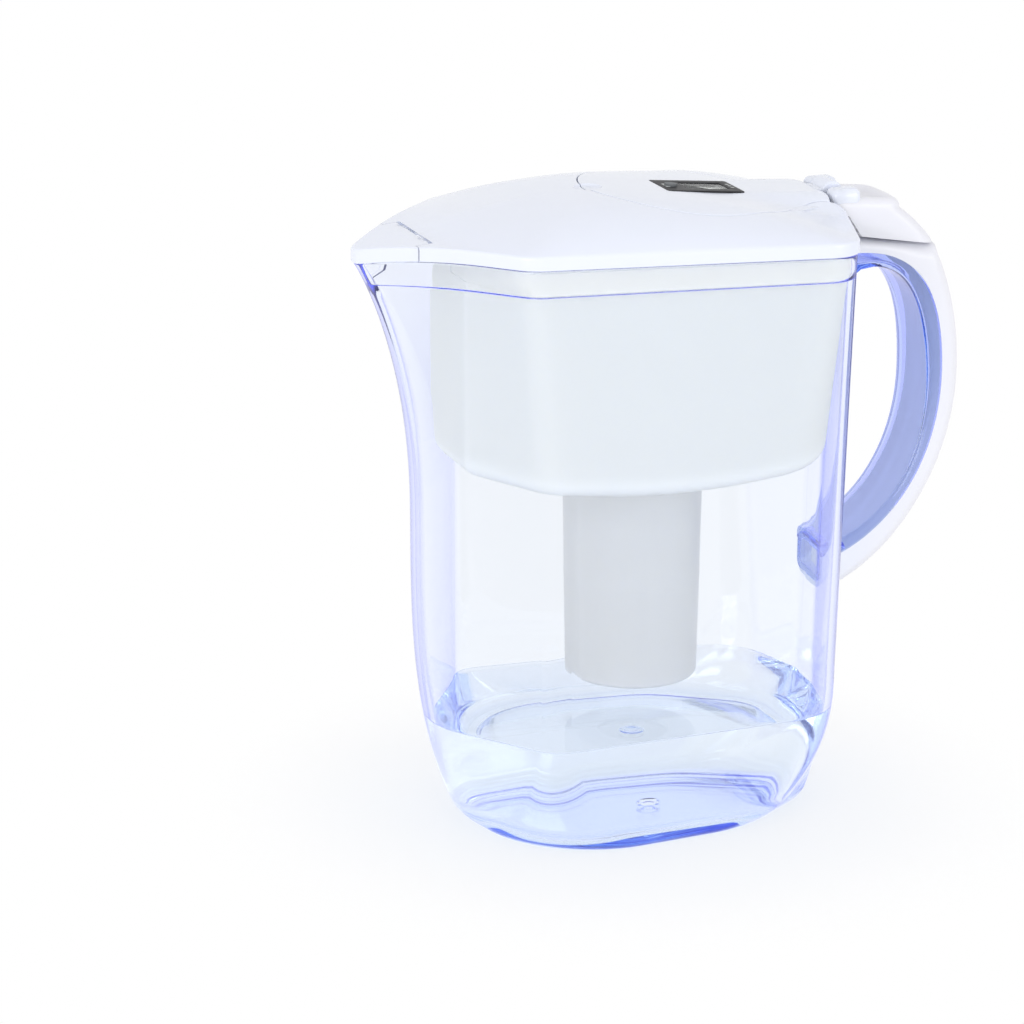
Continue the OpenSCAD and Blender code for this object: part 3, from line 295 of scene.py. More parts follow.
def rounded(hx, hy, r, n=5):
    """A rounded rectangle, clockwise."""
    points = []
    for sx, sy, start in ((-1, 1, 180), (1, 1, 90), (1, -1, 0), (-1, -1, -90)):
        for k in range(n + 1):
            a = math.radians(start - 90 * k / n)
            points.append((sx * (hx - r) + r * math.cos(a), sy * (hy - r) + r * math.sin(a)))
    return points


def join(name, parts):
    """Joins loose pieces of one body into one object."""
    work = bmesh.new()
    for part in parts:
        work.from_mesh(part.data)
    mesh = bpy.data.meshes.new(name)
    work.to_mesh(mesh)
    work.free()
    for finish in parts[0].data.materials:
        mesh.materials.append(finish)
    for part in parts:
        bpy.data.objects.remove(part)
    obj = linked(name, mesh)
    finish_mesh(obj, SHARP)
    return obj


def settle(obj, sharp):
    """Keeps what a modifier makes as a plain mesh."""
    depsgraph = bpy.context.evaluated_depsgraph_get()
    mesh = bpy.data.meshes.new_from_object(obj.evaluated_get(depsgraph))
    obj.modifiers.clear()
    obj.data = mesh
    finish_mesh(obj, sharp)


def carve(obj, cutter, operation="DIFFERENCE"):
    """Cuts one closed mesh by another and keeps the result as a plain mesh."""
    mod = obj.modifiers.new("carve", "BOOLEAN")
    mod.object = cutter
    mod.operation = operation
    mod.solver = "EXACT"
    settle(obj, CUT_SHARP)
    bpy.data.objects.remove(cutter)


def prism(name, points, low, high):
    """An upright prism over a plan of points."""
    return skin(name, [[(x, y, low) for x, y in points], [(x, y, high) for x, y in points]])


# ---------------------------------------------------------------- shader expressions


class Value:
    """A socket that takes part in arithmetic; each operation adds its Math node."""

    def __init__(self, shader, socket):
        self.shader = shader
        self.socket = socket

    def math(self, operation, *others, first=None):
        values = [self if first is None else first, *others]
        node = self.shader.node("ShaderNodeMath", {"operation": operation}, **{str(i): v for i, v in enumerate(values)})
        return Value(self.shader, node.outputs[0])

    def __add__(self, other):
        return self.math("ADD", other)

    __radd__ = __add__

    def __mul__(self, other):
        return self.math("MULTIPLY", other)

    __rmul__ = __mul__

    def __sub__(self, other):
        return self.math("SUBTRACT", other)

    def __rsub__(self, other):
        return self.math("SUBTRACT", self, first=other)

    def __truediv__(self, other):
        return self.math("DIVIDE", other)

    def above(self, limit):
        return self.math("GREATER_THAN", limit)

    def below(self, limit):
        return self.math("LESS_THAN", limit)

    def size(self):
        return self.math("ABSOLUTE")

    def soft(self, low, high, least=0.0):
        """The least value below low and 1 above high, with a smooth step between."""
        sockets = {"0": self, "1": low, "2": high, "3": least}
        node = self.shader.node("ShaderNodeMapRange", {"interpolation_type": "SMOOTHSTEP"}, **sockets)
        return Value(self.shader, node.outputs[0])


class Graph:
    """A node tree, and the one way in which a node is added to it."""

    def __init__(self, tree):
        self.tree = tree

    def node(self, kind, settings=None, **sockets):
        node = self.tree.nodes.new(kind)
        for key, value in (settings or {}).items():
            setattr(node, key, value)
        for key, value in sockets.items():
            self.join(value, node.inputs[int(key) if key.isdigit() else key.replace("_", " ")])
        return node

    def join(self, value, socket):
        if isinstance(value, Value):
            self.tree.links.new(value.socket, socket)
        elif isinstance(value, bpy.types.NodeSocket):
            self.tree.links.new(value, socket)
        else:
            socket.default_value = value


class Shader(Graph):
    """A material whose surface is one Principled shader, with the noise and masks that feed it."""

    def __init__(self, name, **constants):
        self.material = bpy.data.materials.new(name)
        self.material.use_nodes = True
        super().__init__(self.material.node_tree)
        self.surface = self.tree.nodes["Principled BSDF"]
        self.output = self.tree.nodes["Material Output"]
        for key, value in constants.items():
            self.surface.inputs[key.replace("_", " ")].default_value = value
        self.place = None

    def at(self):
        if not self.place:
            self.place = self.node("ShaderNodeTexCoord").outputs["Object"]
        return self.place

    def axes(self):
        split = self.node("ShaderNodeSeparateXYZ", None, Vector=self.at())
        return [Value(self, socket) for socket in split.outputs]

    def noise(self, scale, detail=3.0, rough=0.5):
        made = self.node("ShaderNodeTexNoise", None, Vector=self.at(), Scale=scale, Detail=detail, Roughness=rough)
        return Value(self, made.outputs[0])

    def blend(self, factor, low, high):
        sockets = {"0": factor, "6": rgba(low), "7": rgba(high)}
        return self.node("ShaderNodeMix", {"data_type": "RGBA"}, **sockets).outputs[2]

    def feed(self, name, value):
        self.join(value, self.surface.inputs[name])

    def bump(self, height, depth, strength):
        made = self.node("ShaderNodeBump", None, Height=height, Distance=depth, Strength=strength)
        self.feed("Normal", made.outputs[0])

    def absorb(self, tone, density):
        """The colour that light takes on inside a clear piece."""
        fog = self.node("ShaderNodeVolumeAbsorption", None, Color=rgba(tone), Density=density)
        self.join(fog.outputs[0], self.output.inputs["Volume"])


def rgba(value):
    return (*tuple(value)[:3], 1.0)


def scaled(value, factor):
    return tuple(min(1.0, c * factor) for c in tuple(value)[:3])


# ---------------------------------------------------------------- materials

MADE = {}


def material(maker, *args):
    """Each material is made once, the first time that a piece asks for it."""
    key = (maker.__name__, *args)
    if key not in MADE:
        MADE[key] = maker(*args).material
    return MADE[key]


def tones():
    return bpy.context.scene.pitcher_colours


def sizes():
    return bpy.context.scene.pitcher_sizes


def lamps_pass(s, tone):
    """Lets the light of the lamps through a clear piece, so that what stands behind it is lit."""
    through = s.node("ShaderNodeBsdfTransparent", None, Color=rgba(tone))
    path = s.node("ShaderNodeLightPath").outputs
    either = Value(s, path["Is Shadow Ray"]).math("MAXIMUM", path["Is Diffuse Ray"])
    sockets = {"0": either, "1": s.surface.outputs[0], "2": through.outputs[0]}
    s.join(s.node("ShaderNodeMixShader", None, **sockets).outputs[0], s.output.inputs["Surface"])


def clear_plastic(name, density, rough, body, rim, painted_edge_glow):
    """Clear tinted plastic: its tint comes from the path that light takes inside it; a painted dark blue shade and a
    painted glow at its grazing edges stand in for the light that gathers there.
    """
    s = Shader(name, Transmission_Weight=1.0, IOR=1.49, Emission_Strength=1.0)
    facing = Value(s, s.node("ShaderNodeLayerWeight", None, Blend=0.5).outputs["Facing"])
    above_base = s.axes()[2].soft(0.01, 0.05)
    # Painted shade: seen edge-on, the base colour turns from the body tone to the dark blue rim tone, less so near the
    # foot.
    s.feed("Base Color", s.blend(facing.soft(0.5, 0.95) * (0.35 + 0.65 * above_base), body, rim))
    # Painted glow: faint emission where the surface is seen edge-on, so that its dark edges read violet.
    s.feed("Emission Color", s.blend(facing.soft(0.22, 0.88), (0, 0, 0), painted_edge_glow))
    lamps_pass(s, (0.98, 0.99, 1.0))
    s.feed("Roughness", rough + 0.02 * s.noise(160, 2).soft(0.62, 0.8))
    s.bump(s.noise(22, 2), 0.0004, 0.12)
    s.absorb(tones().tint, density)
    return s


def moulded(name, tone, gloss, fine):
    """Moulded opaque plastic: a faint mottle, orange peel and softer gloss in patches."""
    s = Shader(
        name, Coat_Roughness=0.06, Coat_IOR=1.45, Subsurface_Weight=0.12, Subsurface_Scale=0.004,
        Subsurface_Radius=(1.0, 0.95, 1.1)
    )
    s.feed("Base Color", s.blend(s.noise(38, 4), scaled(tone, 0.985), scaled(tone, 1.012)))
    s.feed("Roughness", gloss + 0.06 * s.noise(90, 3))
    s.bump(s.noise(fine, 3), 0.00006, 0.25)
    return s


def white_plastic():
    # Its colour carries painted cool light from above: a blue-lavender tint on plain white plastic.
    s = moulded("lid_white", tones().white, 0.20, 900)
    s.feed("Coat Weight", 0.25)
    return s


def cover_plastic():
    return moulded("cover_white", tones().cover, 0.30, 1100)


def cartridge_plastic():
    return moulded("cartridge_white", tones().cartridge, 0.38, 1500)


def frosted_plastic():
    """Frosted plastic of the hopper: light bleeds through its thin wall; the sleeve low down is painted in shade and
    the hopper above painted lighter.
    """
    s = Shader("frosted_hopper", Subsurface_Weight=0.55, Subsurface_Scale=0.012, Subsurface_Radius=(0.9, 0.95, 1.2))
    tone, above_painted_sleeve_shade = tones().frost, s.axes()[2].soft(0.13, 0.152)
    # Painted shade: below 0.13 m the sleeve is darker than its tone, and above 0.152 m the hopper is painted lighter
    # than its tone.
    s.feed("Base Color", s.blend(above_painted_sleeve_shade, scaled(tone, 0.81), scaled(tone, 1.05)))
    s.feed("Roughness", 0.34 + 0.08 * s.noise(60, 3))
    s.bump(s.noise(1300, 2), 0.00005, 0.3)
    return s


def water():
    s = Shader("water", Transmission_Weight=1.0, IOR=1.333, Base_Color=(1, 1, 1, 1))
    lamps_pass(s, (1.0, 1.0, 1.0))
    s.feed("Roughness", 0.01 * s.noise(8, 1))
    s.bump(s.noise(14, 2), 0.0006, 0.06)
    s.absorb(tones().water, 1.0)
    return s


def metal(name, tone, rough):
    s = Shader(name, Metallic=1.0)
    s.feed("Base Color", s.blend(s.noise(300, 3), scaled(tone, 0.92), tone))
    s.feed("Roughness", rough + 0.12 * s.noise(700, 4))
    s.bump(s.noise(2400, 2), 0.00004, 0.3)
    return s


def rubber(name, tone):
    s = Shader(name)
    s.feed("Base Color", s.blend(s.noise(420, 4), scaled(tone, 0.85), tone))
    s.feed("Roughness", 0.62 + 0.2 * s.noise(800, 3))
    s.bump(s.noise(1500, 4), 0.0001, 0.4)
    return s


def granules():
    """Carbon and resin grains: dark cells with paler ones among them."""
    s = Shader("filter_bed")
    cells = s.node("ShaderNodeTexVoronoi", {"feature": "F1"}, Vector=s.at(), Scale=900.0)
    pick = Value(s, s.node("ShaderNodeSeparateColor", None, Color=cells.outputs["Color"]).outputs[0])
    s.feed("Base Color", s.blend(pick.above(0.72), (0.015, 0.015, 0.016), (0.62, 0.5, 0.34)))
    s.feed("Roughness", 0.55 + 0.3 * pick)
    s.bump(Value(s, cells.outputs["Distance"]), 0.0006, 0.8)
    return s


def felt():
    s = Shader("felt")
    s.feed("Base Color", s.blend(s.noise(1800, 6, 0.8), (0.62, 0.62, 0.58), (0.82, 0.82, 0.78)))
    s.feed("Roughness", 0.88 + 0.1 * s.noise(600, 3))
    s.bump(s.noise(3000, 6, 0.8), 0.0003, 0.8)
    return s


THREADS = 5200  # threads of the screen, in radians of their wave for each metre


def mesh_cloth():
    """Woven screen of fine threads."""
    s = Shader("vent_mesh", Roughness=0.5)
    x, y = s.axes()[:2]
    weave = (x * THREADS).math("SINE").size() * (y * THREADS).math("SINE").size()
    s.feed("Base Color", s.blend(weave.soft(0.1, 0.6), (0.72, 0.72, 0.76), (0.42, 0.42, 0.46)))
    s.bump(weave, 0.0002, 0.6)
    return s


def bezel_black():
    """Black gloss frame with plain pale ticks beside the display."""
    s = Shader("bezel_black", Coat_Roughness=0.2, Specular_IOR_Level=0.12)
    x, y = s.axes()[:2]
    mid = DISPLAY_X * MM
    left = (x - (mid - 0.0135)).size().below(0.0009) * y.size().below(0.0032)
    rows = (y * 2100).math("SINE").above(0.1)
    right = (x - (mid + 0.0148)).size().below(0.0007) * y.size().below(0.0045) * rows
    s.feed("Base Color", s.blend((left + right).math("MINIMUM", 1.0), tones().bezel, (0.5, 0.52, 0.52)))
    s.feed("Roughness", 0.36 + 0.1 * s.noise(300, 3))
    s.bump(s.noise(1200, 2), 0.00004, 0.2)
    return s


def display_face():
    """Reflective panel with a plain bar gauge of dark segments."""
    s = Shader("display_face", Specular_IOR_Level=0.2)
    x, y = s.axes()[:2]
    across, along = (x - (DISPLAY_X + LCD_X) * MM) * 1000, y * 1000
    bar = across.size().below(7.2) * (along + 2.6).size().below(1.1) * (across * 2.3).math("SINE").above(-0.72)
    outer = across.size().below(8.3) * along.size().below(5.2)
    inner = across.size().below(8.0) * along.size().below(4.9)
    ink = (bar + (outer - inner)).math("MINIMUM", 1.0)
    s.feed("Base Color", s.blend(ink * 0.55, tones().display, (0.05, 0.06, 0.06)))
    s.feed("Roughness", 0.32 + 0.06 * s.noise(500, 2))
    return s


def window_plastic():
    s = Shader("clear_window", Transmission_Weight=1.0, IOR=1.12, Base_Color=(0.94, 0.97, 0.95, 1))
    lamps_pass(s, (0.95, 0.97, 0.96))
    s.feed("Roughness", 0.03 + 0.03 * s.noise(300, 2))
    return s


def board_green():
    """Circuit board with pale pads and traces under green varnish."""
    s = Shader("board")
    bricks = s.node("ShaderNodeTexBrick", None, Vector=s.at(), Scale=260.0, Mortar_Size=0.06)
    mask = Value(s, bricks.outputs["Fac"])
    s.feed("Base Color", s.blend(mask, (0.02, 0.16, 0.06), (0.10, 0.32, 0.12)))
    s.feed("Roughness", 0.35 + 0.2 * s.noise(400, 2))
    s.bump(mask, 0.00005, 0.5)
    return s


# ---------------------------------------------------------------- jug


def clear():
    # Body colour, then the painted dark blue edge shade and the painted edge glow.
    return material(clear_plastic, "clear_jug", 20.0, 0.012, (1.0, 1.0, 1.0), (0.1, 0.13, 0.8), (0.03, 0.028, 0.1))


def clear_handle():
    # Painted dark blue edge shade and painted edge glow of the handle.
    rim, painted_edge_glow = (0.3, 0.33, 0.92), (0.02, 0.018, 0.08)
    return material(clear_plastic, "clear_handle", 60.0, 0.03, (0.74, 0.76, 1.0), rim, painted_edge_glow)


LOW_STEPS, HIGH_STEPS = 22, 24
LEDGE_Z = RIM_H - LEDGE_DROP
FADE_X, FADE_L = -104.0, 30.0  # where the ledge grows out of the spout's wall


def mouth_side(z, out=0.0):
    """Inside of the mouth at z: thin above the hopper's ledge, and as thick as the wall at the spout."""
    thick, thin = jug_ring(z, JUG_WALL - 0.35 - out * 0.2), jug_ring(z, MOUTH_WALL - out)
    return [mix(p, q, ease((p[0] - FADE_X) / FADE_L)) for p, q in zip(thick, thin)]


def build_jug():
    r, recess = sizes().rim_round / MM, sizes().foot_recess / MM
    edge, rim = quarter(BASE_EDGE, 8), quarter(r, 5)
    base = jug_ring(0, BASE_EDGE)
    hub = [mix(p, q, 0.45) for p, q in zip(jug_ring(0, 13), round_ring(6, 0, base))]
    rings = [round_ring(g, recess + dz, base) for g, dz in ((0.3, 0.4), (3, 0.3), (4, 0), (6, 0))]
    for ring, share in ((hub, 1), (jug_ring(0, 12.5), 1), (jug_ring(0, 11.2), 0.6)):
        rings.append([(x, y, recess * share) for x, y, z in ring])
    rings += [jug_ring(0, 10), jug_ring(0, 7.5)]
    rings += [jug_ring(side, BASE_EDGE - up) for side, up in edge]
    levels = [mix(BASE_EDGE, BELLY_H, (i / LOW_STEPS) ** 1.5) for i in range(1, LOW_STEPS + 1)]
    levels += [mix(BELLY_H, LEDGE_Z - 1, i / HIGH_STEPS) for i in range(1, HIGH_STEPS + 1)]
    rings += [jug_ring(z, 0) for z in levels]
    rings += [jug_ring(mix(LEDGE_Z, RIM_H - r, i / 4), 0) for i in range(5)]
    rings += [jug_ring(RIM_H - r + up, side) for side, up in rim[1:]]
    rings += [mouth_side(RIM_H - r + up, side) for side, up in reversed(rim)]
    rings += [mouth_side(mix(RIM_H - r, LEDGE_Z + 0.4, i / 3)) for i in (1, 2, 3)]
    rings += [mouth_side(LEDGE_Z + 0.12, -0.12), mouth_side(LEDGE_Z, -0.4)]
    rings += [jug_ring(LEDGE_Z, JUG_WALL - 0.3), jug_ring(LEDGE_Z - 0.3, JUG_WALL)]
    rings += [jug_ring(z, JUG_WALL) for z in reversed(levels) if FLOOR_T + BASE_EDGE < z < LEDGE_Z - 1]
    rings += [level_ring(FLOOR_T + side, JUG_WALL + BASE_EDGE - up) for side, up in reversed(edge)]
    floor = rings[-1]
    for share in (0.3, 0.6):
        rings.append([(*mix(p[:2], q[:2], share), FLOOR_T) for p, q in zip(floor, round_ring(7, 0, floor))])
    gate = ((7, 0), (5.2, 0), (4.7, 0.5), (4.2, 0.7), (3.6, 0.5), (3.1, -0.2), (2, -0.7), (0.4, -0.9))
    rings += [round_ring(g, FLOOR_T + dz, floor) for g, dz in gate]
    glass = skin("jug_shell", rings, clear(), sharp=40)
    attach(glass, "jug")
    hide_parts("jug_body")


# ---------------------------------------------------------------- handle

CURVE_STEPS = 22
HANDLE_W, HANDLE_REACH, GRIP_REACH, SEAM_REACH, CHANNEL_T, COVER_T = 34.0, 141.0, 125.0, 131.0, 3.0, 2.4
SEAM_TOP, SEAM_FOOT, GRIP_TOP, GRIP_FOOT, OUTSIDE_FOOT, OUTSIDE_TOP = 230.5, 102.0, 223.5, 107.5, 86.5, 113.0
MID_Z, TAIL_Z, TAIL_W, WEB_Z = 178.0, 254.6, 17.0, 216.0
SOCKET_Z, SOCKET_L = 97.7, 8.0
TAIL_SEAM_X, TAIL_SEAM_FRONT, TAIL_SEAM_REAR = 88.6, 238.3, 231.0
COVER_X, COVER_FOOT_X, COVER_SPLIT = 87.4, 83.5, (123.5, 220)


def bezier(a, b, c, d, n=CURVE_STEPS):
    out = []
    for i in range(n + 1):
        t = i / n
        s = 1 - t
        out.append(tuple(s**3 * p + 3 * s * s * t * q + 3 * s * t * t * r + t**3 * w for p, q, r, w in zip(a, b, c, d)))
    return out


def seam_path():
    top = bezier((86, SEAM_TOP), (112, SEAM_TOP + 1.5), (SEAM_REACH, 221), (SEAM_REACH, MID_Z))
    return top + bezier((SEAM_REACH, MID_Z), (SEAM_REACH, 141), (112, 113), (84, SEAM_FOOT))[1:]


def grip_path():
    top = bezier((98, GRIP_TOP), (116, GRIP_TOP), (GRIP_REACH, 208), (GRIP_REACH, 173))
    return top + bezier((GRIP_REACH, 173), (GRIP_REACH, 139), (108, 115), (84, GRIP_FOOT))[1:]


def outside_path():
    top = bezier((OUTSIDE_TOP, TAIL_Z - 0.6), (127, 239), (HANDLE_REACH, 213), (HANDLE_REACH, MID_Z))
    return top + bezier((HANDLE_REACH, MID_Z), (HANDLE_REACH, 141), (120, 101), (84, OUTSIDE_FOOT))[1:]


def tail_seam(x):
    return mix(TAIL_SEAM_FRONT, TAIL_SEAM_REAR, (x - TAIL_SEAM_X) / (SEAM_REACH - TAIL_SEAM_X))


def channel_section(depth, half, wall, corner, crown=0.0):
    """Section of a channel: a, the depth from its open side, and y; the outer line first, then the inner one."""
    lines = []
    for inset, end in ((0.0, depth), (wall, depth - wall)):
        h, r = half - inset, max(0.3, min(corner - inset * 0.8, end * 0.6, half - inset - 1))
        line = [(0.0, -h), (end * 0.25, -h), (end * 0.5 - r * 0.4, -h)]
        line += [(end - r + r * math.sin(a), -h + r - r * math.cos(a)) for a in arc(7)]
        line += [(end, (2 * k / 8 - 1) * (h - r)) for k in range(1, 8)]
        line += [(a, -y) for a, y in reversed(line[:10])]
        lines.append([(a - crown * (y / half) ** 2 * (a / depth), y) for a, y in line])
    return lines[0] + list(reversed(lines[1]))


def sweep(name, pairs, wall, corner, finish, crown=0.0):
    """A channel swept between its open side and its closed side, given as pairs of side-view points."""
    rings = []
    for (x, z), far in pairs:
        dx, dz = far[0] - x, far[1] - z
        depth = max(math.hypot(dx, dz), 0.2)
        section = channel_section(depth, HANDLE_W / 2, min(wall, depth * 0.45), min(corner, depth * 0.7), crown)
        rings.append([(x + dx * a / depth, y, z + dz * a / depth) for a, y in section])
    return skin(name, rings, finish, sharp=42)


def resample(path, n):
    """A path divided anew into n equal steps."""
    gaps = [math.dist(p, q) for p, q in zip(path, path[1:])]
    total, out, i, done = sum(gaps), [], 0, 0.0
    for k in range(n + 1):
        want = total * k / n
        while i < len(gaps) - 1 and done + gaps[i] < want:
            done += gaps[i]
            i += 1
        out.append(mix(path[i], path[i + 1], clamp01((want - done) / gaps[i] if gaps[i] else 0)))
    return out


def build_handle():
    seam, grip = seam_path(), grip_path()
    wall_x = rear_x(WEB_Z)
    pairs = [((seam[0][0] - 1, SEAM_TOP), (wall_x - 1.5, WEB_Z - 0.5)), (seam[0], (wall_x + 4, WEB_Z + 3.5))]
    pairs += [(seam[1], (94.5, 222.6))] + list(zip(seam[2:], grip[1:-1]))[: len(seam) - 4]
    pairs += [(seam[-2], grip[-2]), ((83.2, SEAM_FOOT - 0.3), (83.2, GRIP_FOOT - 0.3))]
    channel = sweep("handle_channel", pairs, CHANNEL_T, sizes().grip_round / MM, clear_handle())
    turn_up = Matrix.Translation((rear_x(97) - 1.0, 0, SOCKET_Z)) @ Matrix.Rotation(math.radians(90), 4, "Y")
    outer, inner = rounded(8.1, 14.3, 4), rounded(5.6, 11.8, 2.5)
    levels = ((outer, 0), (outer, SOCKET_L), (inner, SOCKET_L), (inner, 0))
    loops = [placed([(x, y, low) for x, y in line], turn_up) for line, low in levels]
    socket = skin("handle_socket", loops, clear_handle(), closed=True)
    for obj in (channel, socket):
        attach(obj, "jug")
        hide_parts("jug_body")
    outside = [p for p in outside_path() if p[1] < tail_seam(p[0]) - 0.4]
    ends = [(x, tail_seam(x) - 0.3) for x in (COVER_X, outside[0][0])]
    top = [mix(*ends, k / 14) for k in range(15)]
    inner = [(COVER_X, SEAM_TOP + 0.3)] + [(x + 0.1, z + 0.1) for x, z in seam if x > 88 or z < 150]
    inner = [p for p in inner if p[0] > 83.6] + [(COVER_FOOT_X, SEAM_FOOT - 0.6)]
    split = min(range(len(inner)), key=lambda i: math.dist(inner[i], COVER_SPLIT))
    lower = resample(outside + [(COVER_FOOT_X, OUTSIDE_FOOT)], 44)
    pairs = list(zip(resample(inner[: split + 1], 14), top)) + list(zip(resample(inner[split:], 44), lower))[1:]
    corner, crown = sizes().cover_round / MM, sizes().cover_crown / MM
    cover = sweep("handle_cover_shell", pairs, COVER_T, corner, material(cover_plastic), crown)
    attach(cover, "jug")
    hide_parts("handle_cover")


# ---------------------------------------------------------------- hopper

HOPPER_FRONT = (-73, 19, 7)
HOPPER_LOW = [HOPPER_FRONT, (-49.8, 38, 14), (44.8, 27, 27), (42, 8, 30)]
HOPPER_LOW_Z, LOW_RISE, LOW_FRONT, LOW_REAR = 149.7, 8, -80, 72
SLEEVE_TOP_R, SLEEVE_FOOT_R, SLEEVE_T, SLEEVE_FOOT_Z, OUTLET_R = 28.2, 26.5, 1.8, 57.4, 15.0
SLEEVE_MOUTH_Z, SLEEVE_SEAM_Z = HOPPER_LOW_Z - 9, 101.0


def inside_jug(z, gap):
    c = jug_circles(z)
    return [HOPPER_FRONT] + [(c[i][0], c[i][1], c[i][2] - gap) for i in (1, 2, 3)]


def low_edge(x):
    return HOPPER_LOW_Z - 1 + LOW_RISE * (clamp01(x / LOW_FRONT) ** 1.6) + LOW_RISE * (clamp01(x / LOW_REAR) ** 2)


def hopper_ring(t, inset):
    top = inside_jug(LEDGE_Z, JUG_WALL + HOPPER_GAP)
    circles = [mix(p, q, t) for p, q in zip(HOPPER_LOW, top)]
    return [(x, y, mix(low_edge(x), LEDGE_Z + lift(x, LEDGE_Z), t)) for x, y in outline(circles, inset)]


def mouth_ring(inset, z):
    circles = inside_jug(min(z, RIM_H), MOUTH_WALL + HOPPER_GAP)
    return [(x, y, z + lift(x, z)) for x, y in outline(circles, inset)]


def build_hopper():
    foot = hopper_ring(0, 5)
    top, ledge = RIM_H - 0.8, LEDGE_Z + SEAT_GAP
    mid, wall = mix(ledge, top, 0.5), HOPPER_WALL

    def floor_ring(share, r, dz):
        near = round_ring(r, SLEEVE_MOUTH_Z, foot)
        return [
            (*mix(p[:2], q[:2], share), mix(low_edge(p[0]) - 1.7, SLEEVE_MOUTH_Z, 1 - (1 - share) ** 1.15) + dz)
            for p, q in zip(foot, near)
        ]

    rings = [round_ring(OUTLET_R, SLEEVE_FOOT_Z + dz, foot) for dz in (2, 0)]
    rings += [round_ring(SLEEVE_FOOT_R - 2 + up, SLEEVE_FOOT_Z + side, foot) for side, up in quarter(2, 4)]
    for k in range(1, 13):
        z, r = mix(SLEEVE_FOOT_Z + 2, SLEEVE_MOUTH_Z - 3, k / 12), mix(SLEEVE_FOOT_R, SLEEVE_TOP_R, k / 12)
        rings.append(round_ring(r, z, foot))
        if abs(z - SLEEVE_SEAM_Z) < 3.4:
            rings += [round_ring(r + dr, z + dz, foot) for dr, dz in ((0, 1), (0.18, 1.1), (0.18, 1.6))]
    rings.append(round_ring(SLEEVE_TOP_R + 0.3, SLEEVE_MOUTH_Z - 1, foot))
    rings += [floor_ring(share, SLEEVE_TOP_R, 0) for share in (0.97, 0.9, 0.75, 0.5, 0.25, 0)]
    rings += [hopper_ring(0.014 * side - 0.02, 5 - up) for side, up in quarter(5, 6)[1:]]
    rings += [hopper_ring(t, 0) for t in (0.1, 0.2, 0.3, 0.4, 0.5, 0.6, 0.7, 0.8, 0.9, 0.96, 1)]
    outside = ((0.3, ledge), (0, ledge + 0.3), (0, mid), (0, top - 0.5), (0.5, top))
    inside = ((wall - 0.5, top), (wall, top - 0.5), (wall, mid), (wall, ledge + wall))
    rings += [mouth_ring(inset, z) for inset, z in outside + inside]
    rings += [hopper_ring(t, wall) for t in (0.96, 0.9, 0.8, 0.6, 0.4, 0.2, 0.08)]
    rings += [floor_ring(share, 28.9, wall) for share in (0, 0.25, 0.5, 0.75, 0.9, 1)]
    rings.append(round_ring(SLEEVE_TOP_R - SLEEVE_T, SLEEVE_MOUTH_Z + wall, foot))
    rings.append(round_ring(SLEEVE_FOOT_R - SLEEVE_T, SLEEVE_FOOT_Z + 2, foot))
    tub = skin("hopper_tub", rings, material(frosted_plastic), closed=True, sharp=42)
    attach(tub, "hopper")
    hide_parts("hopper")


# ---------------------------------------------------------------- lid

CROWN_X = -10.0
RIDGE_H, RIDGE_X, RIDGE_L, RIDGE_W, RIDGE_SIDE = 9.4, 5, 53, 34, 22  # raised lip that rises to the hinge
CROWN_STATIONS = [
    (NOSE_X - LID_OVER, 0), (-95, 0.2), (-80, 5.8), (-60, 9.6), (-40, 12.4), (-16, CROWN_H - BAND_H), (26, 11.4),
    (60, 8.8), (87.8, 6)
]
DOOR_X, DOOR_R, DOOR_NECK, DOOR_FILLET, DOOR_REAR, DOOR_GAP = 22.5, 44.5, 19.0, 30.0, 79.2, 0.45
DOOR_HINGE = (84.5, 254.0)
BARREL_R, BARREL_L, LUG_GAP, LUG_L = 5.0, 13.0, 0.35, 9.6
FLAP_X, FLAP_W, FLAP_SIDE_X, FLAP_GAP, FLAP_Z = -95.0, 20.3, -100.2, 0.35, 248.787
KNUCKLE_R, FLAP_LUG_Y = 1.7, 12.5
RAIL_IN, SKIRT_OUT, SKIRT_IN = 4.2, 2.5, 4.7
TAIL_FRONT, TAIL_WALL_X, TAIL_UNDER = 80.2, 87.4, 246.5
TAIL_FALL_X, TAIL_HIGH, TAIL_LOW, TAIL_FRONT_R, TAIL_REACH = 88.5, 253.6, 251.4, 4.5, 131.4
WEB_X, WEB_LOW, WEB_TOP, WEB_ROUND, BRIDGE_X, BRIDGE_TOP = 86.9, 243.5, 257.4, 3.0, 87.2, 249.2
DISPLAY_X, DISPLAY_L, DISPLAY_W, DISPLAY_TILT, DISPLAY_Z, LCD_X = 27.0, 34.0, 22.0, 5.215, 259.824, 3.0
HOUSE_LOW, HOUSE_TOP, HOUSE_WALL = -8.6, -1.1, 1.5


def station(x):
    """Height of the crown along its length: the stations joined by a monotone cubic."""
    pts = CROWN_STATIONS
    last = len(pts) - 1
    x = min(max(x, pts[0][0]), pts[-1][0])
    i = max(k for k in range(last) if pts[k][0] <= x)

    def slope(k):
        return (pts[k + 1][1] - pts[k][1]) / (pts[k + 1][0] - pts[k][0])

    def tangent(k):
        if k in (0, last):
            return slope(0 if k == 0 else k - 1)
        a, b = slope(k - 1), slope(k)
        return 0.0 if a * b <= 0 else 2 * a * b / (a + b)

    w = pts[i + 1][0] - pts[i][0]
    t = (x - pts[i][0]) / w
    a, b, m, n = pts[i][1], pts[i + 1][1], tangent(i) * w, tangent(i + 1) * w
    return (2 * t**3 - 3 * t * t + 1) * a + (t**3 - 2 * t * t + t) * m + (3 * t * t - 2 * t**3) * b + (t**3 - t * t) * n


LID_LINE = outline(jug_circles(RIM_H), -LID_OVER)


